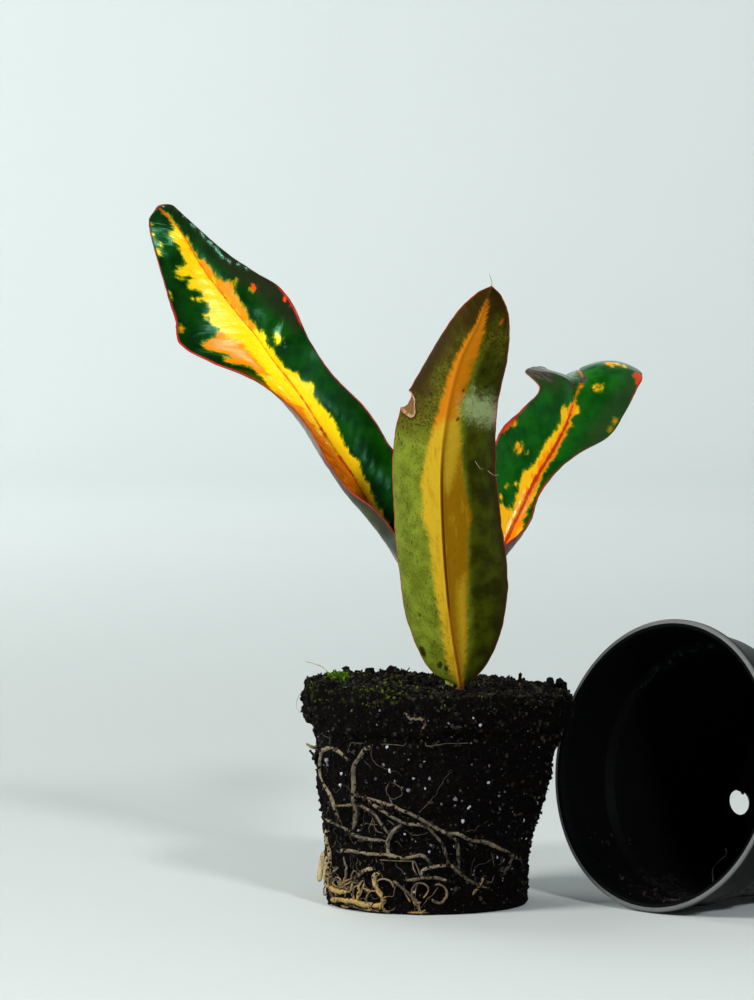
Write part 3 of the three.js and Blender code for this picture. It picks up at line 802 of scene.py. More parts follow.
def swarm(bm: Work, count: int, detail: int) -> list[list[Corner]]:
    """Adds many small balls of radius 1 as separate islands.

    Args:
        bm: Empty mesh work.
        count: Number of balls.
        detail: How often each is divided.

    Returns:
        The vertices of each ball.
    """
    bmesh.ops.create_icosphere(bm, subdivisions=detail, radius=1.0)
    sizes = (len(bm.verts), len(bm.edges), len(bm.faces))
    have = 1
    while have < count:
        take = min(have, count - have)
        kept = [list(items)[:take * size]
                for items, size in zip((bm.verts, bm.edges, bm.faces), sizes)]
        bmesh.ops.duplicate(bm, geom=kept[0] + kept[1] + kept[2])
        have += take
    verts = list(bm.verts)
    return [verts[i * sizes[0]:(i + 1) * sizes[0]] for i in range(count)]


def grains(name: str, places: Sequence[tuple[Vector, float]], finish: Material, chance: random.Random,
           stretch: float, detail: int = 1) -> Piece:
    """Scatters angular grains.

    Args:
        name: Name of the piece.
        places: Centre and radius of each grain in millimetres.
        finish: Material of the grains.
        chance: Source of their shapes.
        stretch: Most that a grain is longer than wide.
        detail: How often each grain is divided.

    Returns:
        The piece, with a tone kept for each grain.
    """
    bm = bmesh.new()
    tones = []
    for verts, (centre, radius) in zip(swarm(bm, len(places), detail), places):
        turn = Matrix.Rotation(chance.uniform(0, math.tau), 3, scatter(chance).normalized())
        lengths = Matrix.Diagonal((1.0, chance.uniform(0.6, 1.0), chance.uniform(1.0, stretch)))
        form = turn @ lengths * radius
        tone = chance.random()
        for vert in verts:
            vert.co = (centre + form @ vert.co * chance.uniform(0.72, 1.2)) * MM
        tones += [tone] * len(verts)
    piece = finish_mesh(name, bm, [finish], smooth_faces=False)
    keep_numbers(piece, {"tone": np.array(tones)})
    return piece


# ---- leaves ----
NUMBERS = ("yellow", "orange", "red", "streak", "dusk", "blush", "curl", "glow", "aged", "specks",
           "blots", "bloom", "scar")
FAR = -9.0  # what a mark reads where a leaf has none


@dataclass
class Leaf:
    """Blade and stalk of one leaf, as long as its rails run from base to tip.

    A mark is a patch of colour. Its outlines are places on the blade: hundredths across, -100 and 100
    being the left and the right margin, and thousandths along. Its round spots have a radius in
    millimetres as well. A swell is a low wave: its place, its reach and its height towards the front.
    """

    name: str
    node: str
    slot: Slot
    face: Face
    midrib: tuple[Point, ...]
    left: tuple[Point, ...]
    right: tuple[Point, ...]
    left_bulge: tuple[float, ...]
    right_bulge: tuple[float, ...]
    stalk: tuple[Point, ...]
    marks: dict[str, tuple[Outline, ...]]
    spots: dict[str, tuple[Spot, ...]]
    rows: int = 300
    half_columns: int = 38
    middle_thickness: float = 0.62
    margin_thickness: float = 0.34
    rib_height: float = 0.42
    rib_width: float = 0.36
    stalk_radius: float = 1.1
    tip_round: float = 2.2
    wave: float = 0.16
    rounding: float = 0.12
    notch: tuple[float, float, float] | None = None
    swells: tuple[tuple[float, float, float, float], ...] = ()
    seed: int = 1
    steps: np.ndarray = field(init=False)
    grid: np.ndarray = field(init=False)
    across: np.ndarray = field(init=False)
    run: np.ndarray = field(init=False)
    shares: np.ndarray = field(init=False)

    def __post_init__(self) -> None:
        """Works out the blade's middle surface and the distances on it."""
        steps = np.linspace(0.0, 1.0, self.half_columns + 1)
        self.steps = 0.6 * steps + 0.4 * (0.5 - 0.5 * np.cos(np.pi * steps))
        even = np.linspace(0.0, 1.0, self.rows + 1)
        self.shares = even - 0.6 * np.sin(2 * np.pi * even) / (2 * np.pi)
        rails = (Rail(self.midrib), Rail(self.left), Rail(self.right))
        middles = np.array([rails[0].at(share) for share in self.shares])
        spans = np.linalg.norm(np.diff(middles, axis=0), axis=1)
        self.run = np.concatenate([[0.0], np.cumsum(spans)])
        self.grid = np.array([self.row(rails, share, run) for share, run in zip(self.shares, self.run)])
        widths = np.linalg.norm(np.diff(self.grid, axis=1), axis=2)
        spread = np.concatenate([np.zeros((self.rows + 1, 1)), np.cumsum(widths, axis=1)], axis=1)
        self.across = spread - spread[:, self.half_columns][:, None]
        normals = self.normals()
        for side, share, reach, height in self.swells:
            across, run = self.flat([(side, share)])[0]
            away = ((self.across - across) ** 2 + (self.run[:, None] - run) ** 2) / (2 * reach ** 2)
            self.grid += normals * (height * np.exp(-away))[..., None]

    def normals(self) -> np.ndarray:
        """Unit normals of the grid, towards the front."""
        normals = np.cross(np.gradient(self.grid, axis=1), np.gradient(self.grid, axis=0))
        return normals / np.linalg.norm(normals, axis=2)[..., None]

    def row(self, rails: tuple[Rail, Rail, Rail], share: float, run: float) -> np.ndarray:
        """Points across the blade at a share of its length.

        Args:
            rails: Midrib, left and right margin.
            share: Share of the length.
            run: The same in millimetres from the base.

        Returns:
            Points from the left margin to the right one.
        """
        middle, heading = rails[0].at(share), rails[0].direction(share)
        to_tip = min((self.run[-1] - run) / self.tip_round, 1.0)
        to_base = min(run / 1.2, 1.0)
        taper = max(0.06, math.sqrt(1 - (1 - to_tip) ** 2)) * max(0.5, math.sqrt(1 - (1 - to_base) ** 2))
        halves = []
        for rail, outward, bulges in ((rails[1], -1, self.left_bulge), (rails[2], 1, self.right_bulge)):
            chord = (rail.at(share) - middle) * taper
            front = np.cross(chord * outward, heading)
            front /= np.linalg.norm(front)
            bulge = 2 * taper * np.interp(share * (len(bulges) - 1), range(len(bulges)), bulges)
            control = middle + chord / 2 + front * bulge
            margin = middle + chord * (1 + self.ripple(run, outward, 0.012) - self.bite(share, outward))
            rest = 1 - self.steps[:, None]
            step = self.steps[:, None]
            half = rest ** 2 * middle + 2 * rest * step * control + step ** 2 * margin
            frill = front * (self.steps ** 4)[:, None]
            halves.append(half + frill * self.ripple(run, outward + 3, self.wave))
        return np.concatenate([halves[0][::-1], halves[1][1:]])

    def ripple(self, run: float, salt: float, size: float) -> float:
        """Irregular waviness along a margin."""
        place = Vector((run / 3.4, self.seed * 7.3, salt * 3.1))
        return size * (noise.noise(place) + 0.5 * noise.noise(place * 2.3))

    def bite(self, share: float, outward: float) -> float:
        """Share of the left half's width that is missing at the torn notch.

        Args:
            share: Share of the blade's length.
            outward: -1 on the left half, 1 on the right one.

        Returns:
            The missing share.
        """
        if self.notch is None or outward > 0:
            return 0.0
        low, high, depth = self.notch
        place = (share - low) / (high - low)
        if not 0 < place < 1:
            return 0.0
        return depth * smooth(place, 0.0, 0.22) * (1 - smooth(place, 0.9, 1.0))

    def flat(self, outline: Sequence[tuple[float, float]]) -> np.ndarray:
        """Lays an outline on the flattened blade.

        Args:
            outline: Places as hundredths across and thousandths along.

        Returns:
            Places in millimetres, one row each.
        """
        columns = np.concatenate([-self.steps[::-1], self.steps[1:]])
        places = []
        for hundredths, thousandths in outline:
            side, share = hundredths / 100, thousandths / 1000
            row = int(np.argmin(abs(self.shares - min(max(share, 0.0), 1.0))))
            reach = np.interp(min(max(side, -1.0), 1.0), columns, self.across[row])
            outside = math.copysign(max(abs(side) - 1.0, 0.0) * 25, side)
            places.append((reach + outside, self.run[row] + max(share - 1.0, 0.0) * 60))
        return np.array(places)

    def numbers(self) -> dict[str, np.ndarray]:
        """Measures every point of the blade's grid.

        Returns:
            Its place on the blade and its distance inside each mark, by name.
        """
        runs = np.repeat(self.run[:, None], self.grid.shape[1], axis=1)
        places = np.stack([self.across.ravel(), runs.ravel()], -1)
        edge = np.minimum(self.across - self.across[:, :1], self.across[:, -1:] - self.across)
        edge = np.minimum(edge, (self.run[-1] - runs) + 0.02)
        made = {"across": self.across, "run": runs, "edge": edge}
        for name in NUMBERS:
            best = np.full(len(places), FAR)
            for outline in self.marks.get(name, ()):
                best = np.maximum(best, inside(places, self.flat(outline)))
            for side, share, radius in self.spots.get(name, ()):
                centre = self.flat([(side, share)])[0]
                best = np.maximum(best, radius - np.linalg.norm((places - centre) * (1.15, 0.85), axis=1))
            made[name] = best.reshape(self.across.shape)
        return made

    def relief(self, numbers: dict[str, np.ndarray], under: bool) -> np.ndarray:
        """Ribs and veins of a face.

        Args:
            numbers: What `numbers` gives.
            under: Whether it is the underside.

        Returns:
            How far each point stands out of the even thickness, in millimetres.
        """
        thin = 1 - 0.75 * self.shares[:, None]
        across = self.across
        if under:
            width = self.rib_width * (0.5 + 0.5 * thin)
            height = self.rib_height * thin * np.exp(-(across / width) ** 2)
        else:
            groove = -0.13 * np.exp(-(across / 0.26) ** 2)
            height = groove + 0.05 * np.exp(-((abs(across) - 0.6) / 0.35) ** 2)
        places = (numbers["run"] - VEIN_LAG * abs(across)) * 2 * np.pi / VEIN_STEP
        lines = np.cos(places + np.sin(across / 1.7))
        height = height + (0.022 if under else -0.03) * lines * np.clip(abs(across) / 1.5, 0, 1)
        scar = numbers["scar"]
        if under and scar.max() > -1:
            height = height + 0.3 * np.exp(-((scar - 0.12) / 0.26) ** 2) - 0.22 * (scar > 0.45)
        return height

    def build(self, upper: Material, under: Material, rim: Material,
              bark: Material) -> Piece:
        """Builds the blade with its stalk and replaces the solid.

        Args:
            upper: Finish of the upper face.
            under: Finish of the underside.
            rim: Finish of the cut edge.
            bark: Finish of the stalk.

        Returns:
            The piece.
        """
        numbers = self.numbers()
        bm = bmesh.new()
        bm.loops.layers.uv.new("blade")
        cell = bm.verts.layers.int.new("cell")
        columns = 2 * self.half_columns
        bmesh.ops.create_grid(bm, x_segments=columns, y_segments=self.rows, size=1.0, calc_uvs=True)
        fronts = set(bm.verts)
        copied = bmesh.ops.duplicate(bm, geom=bm.verts[:] + bm.edges[:] + bm.faces[:])["geom"]
        back_faces = {item for item in copied if isinstance(item, bmesh.types.BMFace)}
        upper_in_front = self.face is Face.UPPER_IN_FRONT
        sheets = self.sheets(numbers, upper_in_front)
        for vert in bm.verts:
            row = round((vert.co.y + 1) / 2 * self.rows)
            column = round((vert.co.x + 1) / 2 * columns)
            vert[cell] = row * (columns + 1) + column
            vert.co = sheets[0 if vert in fronts else 1][row, column] * MM
        for item in bm.faces:
            item.material_index = 1 if (item in back_faces) == upper_in_front else 0
        self.round_rim(bm, fronts, cell)
        stalk = bar(bm, Rail(self.stalk).evenly(0.6), self.stalk_reach, 20)
        for item in {item for vert in stalk for item in vert.link_faces}:
            item.material_index = 3
        piece = finish_mesh(self.name, bm, [upper, under, rim, bark])
        cells = np.zeros(len(piece.data.vertices), np.int32)
        piece.data.attributes["cell"].data.foreach_get("value", cells)
        keep_numbers(piece, {name: grid.ravel()[cells] for name, grid in numbers.items()})
        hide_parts(self.node)
        return piece

    def stalk_reach(self, share: float) -> float:
        """Radius of the stalk, wide at its foot and thin where it runs into the midrib."""
        foot = 1.3 - 0.42 * smooth(share, 0.0, 0.35)
        return self.stalk_radius * foot * (1 - 0.72 * smooth(share, 0.45, 1.0))

    def sheets(self, numbers: dict[str, np.ndarray], upper_in_front: bool) -> tuple[np.ndarray, np.ndarray]:
        """Both faces of the blade.

        Args:
            numbers: What `numbers` gives.
            upper_in_front: Whether the upper face looks at the front.

        Returns:
            Front and back face as grids of points in millimetres.
        """
        normals = self.normals()
        share = abs(np.concatenate([-self.steps[::-1], self.steps[1:]]))[None, :]
        half = (self.middle_thickness + (self.margin_thickness - self.middle_thickness) * share) / 2
        front = self.grid + normals * (half + self.relief(numbers, not upper_in_front))[..., None]
        back = self.grid - normals * (half + self.relief(numbers, upper_in_front))[..., None]
        return front, back

    def round_rim(self, bm: Work, fronts: set[Corner], cell: bmesh.types.BMLayerItem) -> None:
        """Closes the rim between both faces and rounds it.

        Args:
            bm: Mesh work with the two open faces.
            fronts: Vertices of the front face.
            cell: Layer with the place of each vertex in the grid.
        """
        band = bmesh.ops.bridge_loops(bm, edges=[edge for edge in bm.edges if edge.is_boundary])
        cross = [edge for edge in band["edges"] if len({vert in fronts for vert in edge.verts}) == 2]
        made = bmesh.ops.subdivide_edges(bm, edges=cross, cuts=1, use_grid_fill=True)["geom_inner"]
        columns = 2 * self.half_columns
        for vert in (item for item in made if isinstance(item, Corner)):
            row, column = divmod(vert[cell], columns + 1)
            inward = self.grid[min(max(row, 1), self.rows - 1), min(max(column, 1), columns - 1)]
            vert.co += Vector(self.grid[row, column] - inward).normalized() * self.rounding * MM
            for item in vert.link_faces:
                item.material_index = 2


FRONT_LEAF = Leaf(
    name="front_leaf", node="leaf_front", slot=Slot.UNDERSIDE, face=Face.UNDER_IN_FRONT, seed=3,
    midrib=((6.7, -11.6, 45.7), (5.9, -13.6, 50.3), (4.5, -16, 59.3), (3.5, -17.7, 68.8), (2.8, -18.5, 80.1),
        (2.7, -18.5, 91.2), (3.8, -17.8, 101.3), (6.3, -16.3, 112), (10.2, -14.3, 120.1),
        (12.9, -11.9, 127.1)),
    left=((5.6, -11.2, 45.9), (0.4, -10.5, 49.2), (-4.1, -10.5, 58.9), (-5.7, -11, 68.4), (-6.7, -11.5, 79.7),
        (-7.1, -11.5, 92.9), (-5.4, -11.5, 102.5), (1.3, -12, 114.5), (6.6, -12.5, 122.8),
        (11.4, -11.7, 127.1)),
    right=((7.9, -11, 45.9), (12.1, -9, 50.3), (15.1, -8.5, 57.7), (16.3, -8.5, 67.2), (14.9, -9.5, 78.5),
        (13.6, -10.5, 90.8), (13.8, -11.5, 101.7), (16.1, -11, 113.5), (16.2, -10.9, 121.6),
        (14, -11.3, 126.8)),
    left_bulge=(0, 0.8, 1.2, 1.3, 1.3, 1.2, 1, 0.8, 0.4, 0),
    right_bulge=(0, 0.8, 1.2, 1.3, 1.3, 1.2, 1, 0.8, 0.4, 0),
    stalk=((5.6, -8.6, 39.2), (6.2, -10.2, 42.2), (6.6, -11.3, 45.4), (6.3, -12.8, 48.6)),
    notch=(0.667, 0.7, 0.09),
    marks={
        "yellow": (((-30, 0), (-30, 98), (-24, 160), (-18, 220), (-22, 330), (-22, 408), (-33, 455),
            (-33, 525), (-25, 588), (-16, 675), (-13, 770), (-9, 850), (-5, 930), (0, 955), (10, 950),
            (16, 910), (26, 850), (30, 785), (26, 722), (19, 682), (28, 588), (35, 498), (43, 460), (33, 412),
            (30, 322), (25, 178), (30, 0)),),
        # Brown-olive top, partly painted shade.
        "aged": (((-140, 625), (-75, 615), (-50, 610), (-25, 620), (0, 660), (15, 710), (30, 780), (55, 810),
            (80, 800), (140, 830), (140, 1200), (-140, 1200)),),
        "orange": (((-40, 620), (40, 660), (50, 1000), (-40, 1000)),),
        "specks": (((-140, 40), (-22, 40), (-20, 300), (-30, 600), (-140, 640)),
            ((30, 620), (140, 580), (140, 820), (30, 820))),
        "scar": (((-115, 700), (-93, 698), (-76, 687), (-67, 673), (-60, 660), (-60, 650), (-68, 645),
            (-78, 649), (-90, 655), (-100, 664), (-115, 668)),),
        # Painted sheen, as silvery patches.
        "bloom": (((22, 700), (36, 715), (50, 695), (72, 700), (95, 680), (120, 670), (120, 630), (85, 640),
            (62, 648), (45, 655), (30, 668)),),
        "blush": (((-60, 0), (60, 0), (30, 240), (-30, 240)),),
        "glow": (((2, 660), (20, 700), (34, 680), (28, 600), (20, 540), (8, 500), (2, 520)),
            ((10, 0), (14, 300), (26, 340), (28, 200), (30, 50))),
        # Painted shade over the right half.
        "dusk": (((33, -50), (36, 200), (40, 500), (30, 600), (32, 700), (40, 800), (50, 900), (140, 900),
            (140, 500), (140, -50)),),
    },
    swells=((-50, 420, 4, 0.35), (50, 300, 4, -0.3), (-55, 780, 4, 0.4), (60, 600, 3.5, 0.3)),
    spots={
        "blots": ((20, 712, 0.55), (18, 658, 0.55), (-86, 158, 1.15), (-50, 122, 0.85), (-35, 108, 0.7),
            (15, 502, 0.28), (52, 358, 0.32), (67, 360, 0.3), (37, 192, 0.32), (-60, 242, 0.5),
            (-87, 262, 0.4), (-43, 345, 0.35), (62, 720, 0.5), (80, 760, 0.6), (90, 710, 0.5),
            (50, 750, 0.45), (-40, 700, 0.5)),
        # Painted sheen spots.
        "bloom": ((30, 695, 0.8), (62, 672, 0.7), (92, 660, 1)),
        "red": ((73, 870, 0.7),),
    })

LEFT_LEAF = Leaf(
    name="left_leaf", node="leaf_left", slot=Slot.TOP, face=Face.UPPER_IN_FRONT, seed=5, rows=320,
    midrib=((-1.4, 1, 64.4), (-6.3, 3, 71.3), (-10.4, 5, 78.7), (-13.4, 6.3, 84), (-16.3, 7.5, 88.7),
        (-20.8, 9, 95.3), (-25.2, 10.4, 102.5), (-30.2, 11.6, 109.5), (-35.2, 12.8, 116.2),
        (-38.6, 13.2, 120.1), (-42.3, 13.6, 124.9), (-46.5, 13.5, 130.5), (-51.7, 12.3, 139),
        (-55.9, 11, 143.4)),
    left=((-2, 0.3, 65.3), (-5.9, -1.8, 74.9), (-10.4, -2.2, 80.9), (-16, -1, 85), (-20.3, 0.5, 90.5),
        (-24.1, 3.5, 96.9), (-28.5, 6.5, 102.2), (-36, 8.4, 107.6), (-45.8, 9, 111.7), (-51.5, 8.2, 115.3),
        (-52.1, 8, 119.4), (-54.2, 8.5, 126.4), (-57.6, 11, 138.6), (-57.8, 10.9, 142)),
    right=((-0.5, 0.6, 64.9), (1.3, -0.3, 73.8), (0.1, 0.5, 82), (-3.6, 1.5, 89.2), (-7.6, 2.5, 93.9),
        (-12.7, 4.6, 101.6), (-18.5, 7, 107.3), (-23.5, 8.4, 114.2), (-27.1, 9.8, 121.4), (-30, 10.8, 126),
        (-36, 12.3, 130), (-41.5, 13, 133.6), (-49.7, 12.2, 140.8), (-54, 11.4, 144.8)),
    left_bulge=(0, -1.1, -1.9, -1.7, -1.6, -2.1, -2, -1.4, -0.8, -0.6, -1, -0.8, -0.3, 0),
    right_bulge=(0, -0.6, -1, -1.2, -1.2, -1, -0.5, 0, 0.5, 1, 1, 0.8, 0.3, 0),
    stalk=((6, -2, 47.6), (4, -0.8, 50.5), (1.7, 0.1, 55), (0.1, 0.7, 60), (-1.5, 1.2, 64.6),
        (-3.6, 2, 67.6)),
    marks={
        "yellow": (((7, 985), (6, 955), (5, 932), (6, 910), (6, 890), (10, 870), (20, 858), (23, 838),
            (24, 825), (21, 810), (28, 795), (37, 790), (53, 782), (37, 771), (28, 758), (22, 730), (18, 702),
            (15, 672), (14, 642), (18, 628), (22, 608), (15, 592), (18, 575), (17, 550), (15, 540), (18, 530),
            (27, 518), (28, 498), (42, 489), (42, 480), (28, 468), (24, 450), (28, 430), (30, 412), (29, 398),
            (21, 378), (20, 355), (21, 330), (25, 312), (19, 292), (15, 270), (17, 248), (13, 225), (12, 200),
            (13, 152), (15, 80), (40, 0), (-60, 0), (-40, 80), (-35, 160), (-45, 200), (-68, 225), (-62, 250),
            (-55, 280), (-62, 320), (-90, 338), (-130, 350), (-130, 490), (-90, 505), (-66, 530), (-63, 548),
            (-57, 560), (-54, 570), (-67, 578), (-78, 588), (-80, 600), (-73, 610), (-63, 600), (-62, 610),
            (-74, 628), (-78, 640), (-76, 655), (-68, 672), (-53, 668), (-42, 678), (-37, 690), (-42, 705),
            (-42, 732), (-35, 748), (-30, 770), (-33, 788), (-30, 803), (-36, 815), (-48, 825), (-43, 838),
            (-32, 840), (-35, 848), (-52, 850), (-64, 858), (-56, 866), (-42, 864), (-31, 867), (-31, 875),
            (-33, 890), (-40, 900), (-40, 910), (-22, 918), (-8, 930), (-3, 955), (-2, 985)),),
        "orange": (((5, 905), (2, 885), (7, 870), (30, 858), (30, 838), (30, 810), (60, 790), (60, 770),
            (30, 758), (26, 730), (20, 680), (20, 640), (6, 650), (5, 725), (5, 790), (6, 830), (6, 862)),
            ((-42, 678), (-53, 690), (-90, 680), (-90, 580), (-60, 550), (-42, 545), (-30, 580), (-32, 608),
            (-37, 640)),
            ((-130, 490), (-62, 495), (-25, 460), (-12, 410), (-6, 370), (-2, 300), (0, 200), (0, 100),
            (-130, 100))),
        # Painted shade on the lower left half, and a painted dark reflection near the upper right margin.
        "dusk": (((-130, 420), (-50, 440), (-12, 360), (-3, 250), (2, 100), (-130, 100)),
            ((55, 700), (45, 780), (50, 900), (30, 1050), (140, 1050), (140, 560), (75, 580))),
        "blush": (((-140, 120), (-60, 120), (-60, 820), (-140, 800)),
            ((80, 600), (140, 550), (140, 720), (90, 700))),
        "streak": (((-5, 410), (3, 410), (3, 385), (-3, 385)),
            ((-5, 350), (2, 350), (5, 285), (-2, 285))),
    },
    spots={
        "yellow": ((43, 588, 0.85), (-45, 738, 0.55), (-95, 890, 0.4), (-95, 832, 0.5), (-42, 795, 0.32),
            (-93, 742, 0.8), (-100, 948, 0.55), (-97, 915, 0.5), (-80, 898, 0.22), (-50, 800, 0.18),
            (60, 738, 0.3)),
        "orange": ((-93, 742, 1.1), (-100, 948, 0.9), (65, 738, 1)),
        "red": ((68, 738, 0.55), (93, 665, 0.35), (97, 640, 0.25), (-80, 380, 0.5), (-85, 330, 0.6),
            (-70, 290, 0.4), (-90, 430, 0.4)),
        "streak": ((-2, 765, 0.3), (2, 600, 0.22), (2, 885, 0.25)),
    },
    swells=((45, 575, 2.9, 1.8), (50, 760, 2.6, -0.5), (-45, 895, 2.2, 0.9), (50, 420, 3.4, -0.4),
        (-50, 400, 3, 0.4), (-40, 570, 2.4, -0.3)))

RIGHT_LEAF = Leaf(
    name="right_leaf", node="leaf_right", slot=Slot.TOP, face=Face.UPPER_IN_FRONT, seed=8, rows=320,
    midrib=((11.7, 3, 63.9), (14.4, 4, 70), (16.5, 5, 74.7), (19, 7, 79.8), (21.8, 9.5, 85.5),
        (24.8, 12, 90.6), (27.8, 15, 95.4), (30, 18, 100.6), (31.4, 22, 104.6), (32.8, 26, 107.2),
        (32.4, 31, 108.8), (32.9, 38, 108.5), (34.8, 47, 107.7), (38, 55, 105.9)),
    left=((11, 2, 64.8), (11.9, 1.5, 73.1), (11.6, 2, 79.3), (12.1, 3, 85), (13.1, 4, 91.6),
        (15.2, 5.5, 97.1), (19.6, 8.6, 101.4), (23.4, 11.6, 105.8), (20.6, 14, 109), (24.2, 21, 109.9),
        (26.2, 29, 107.3), (28.6, 38, 106.6), (31.2, 47.5, 105.5), (37.3, 55, 105.5)),
    right=((12.5, 2, 64.1), (15.5, 0, 73), (18.9, 1.5, 76), (21.4, 4, 78.9), (22.8, 7, 83.1),
        (27.1, 12, 88.5), (32, 16, 92.3), (38.4, 22, 95.4), (41.4, 26, 99.4), (44.4, 30.5, 104.4),
        (46, 35, 107.4), (45.1, 42, 108.9), (43.4, 49, 108.4), (38.8, 55, 105.9)),
    left_bulge=(0, -0.5, -0.8, -1, -1, -0.8, -0.5, 0.4, 2.8, -0.8, -1, 0.4, 0.5, 0),
    right_bulge=(0, -1, -1.2, -1.2, -1.1, -1, -0.8, 0, 0.8, 1.5, 2, 1.8, 1, 0),
    stalk=((6, -2, 50.6), (7.5, -0.9, 53.2), (9.1, 0.5, 57), (10.5, 1.8, 60.8), (11.9, 2.9, 64.2),
        (13, 3.5, 67)),
    marks={
        "yellow": (((-130, 0), (-130, 205), (-90, 215), (-60, 225), (-33, 230), (-17, 232), (-18, 250),
            (-20, 265), (-20, 280), (-25, 308), (-25, 328), (-17, 348), (-15, 365), (-15, 382), (-18, 405),
            (-20, 430), (-18, 448), (-15, 470), (-17, 498), (-27, 522), (-25, 538), (-13, 537), (-12, 548),
            (-5, 572), (-4, 628), (-3, 690), (3, 690), (3, 588), (4, 568), (15, 562), (17, 552), (12, 535),
            (9, 520), (18, 512), (17, 502), (12, 485), (15, 470), (18, 445), (28, 425), (33, 400), (30, 378),
            (30, 350), (38, 322), (42, 302), (38, 278), (28, 248), (30, 218), (50, 188), (90, 165),
            (130, 130), (130, 0)),),
        "orange": (((-130, 360), (-85, 370), (-85, 440), (-130, 460)),
            ((-6, 100), (30, 100), (20, 300), (10, 500), (5, 560), (-5, 560), (-5, 300)),
            ((-12, 580), (12, 580), (12, 700), (-12, 700))),
        "streak": (((-6, 60), (5, 60), (8, 170), (4, 220), (9, 300), (5, 350), (8, 420), (4, 450), (5, 530),
            (0, 535), (-5, 440), (-2, 380), (-5, 330), (-2, 250), (-6, 150)),),
        "red": (((84, 738), (86, 765), (100, 775), (120, 765), (120, 725), (95, 715)),
            ((-130, 375), (-93, 380), (-95, 440), (-130, 450))),
        # Painted shade, the deep valley beside the midrib among it.
        "dusk": (((55, 520), (60, 660), (75, 720), (140, 720), (140, 420), (90, 440)),
            ((-140, 520), (-45, 550), (-45, 660), (-140, 680)),
            ((-40, 575), (-12, 590), (-10, 630), (-40, 650))),
        "curl": (((-62, 585), (-60, 630), (-62, 665), (-130, 680), (-130, 575)),
            ((-10, 660), (-10, 700), (8, 700), (8, 655))),
        "blush": (((75, 660), (140, 660), (140, 820), (75, 820)),
            ((-140, 330), (-80, 330), (-80, 470), (-140, 490)),
            ((60, 100), (140, 100), (140, 360), (60, 360))),
    },
    spots={
        "yellow": ((-58, 375, 0.85), (-50, 370, 0.7), (-38, 370, 0.35), (-45, 278, 0.38), (-30, 288, 0.3),
            (26, 645, 0.3), (32, 648, 0.42), (38, 652, 0.32), (46, 768, 1), (58, 776, 0.9), (70, 775, 0.7),
            (90, 582, 0.5), (93, 557, 0.55), (-90, 420, 0.5), (-100, 400, 0.9), (-55, 240, 0.4)),
        "orange": ((-55, 372, 0.5), (33, 648, 0.2), (46, 768, 0.5), (90, 582, 0.9), (93, 557, 0.9)),
    },
    swells=((-50, 420, 3, 0.4), (60, 500, 3, -0.5), (50, 680, 2.6, 0.4)))


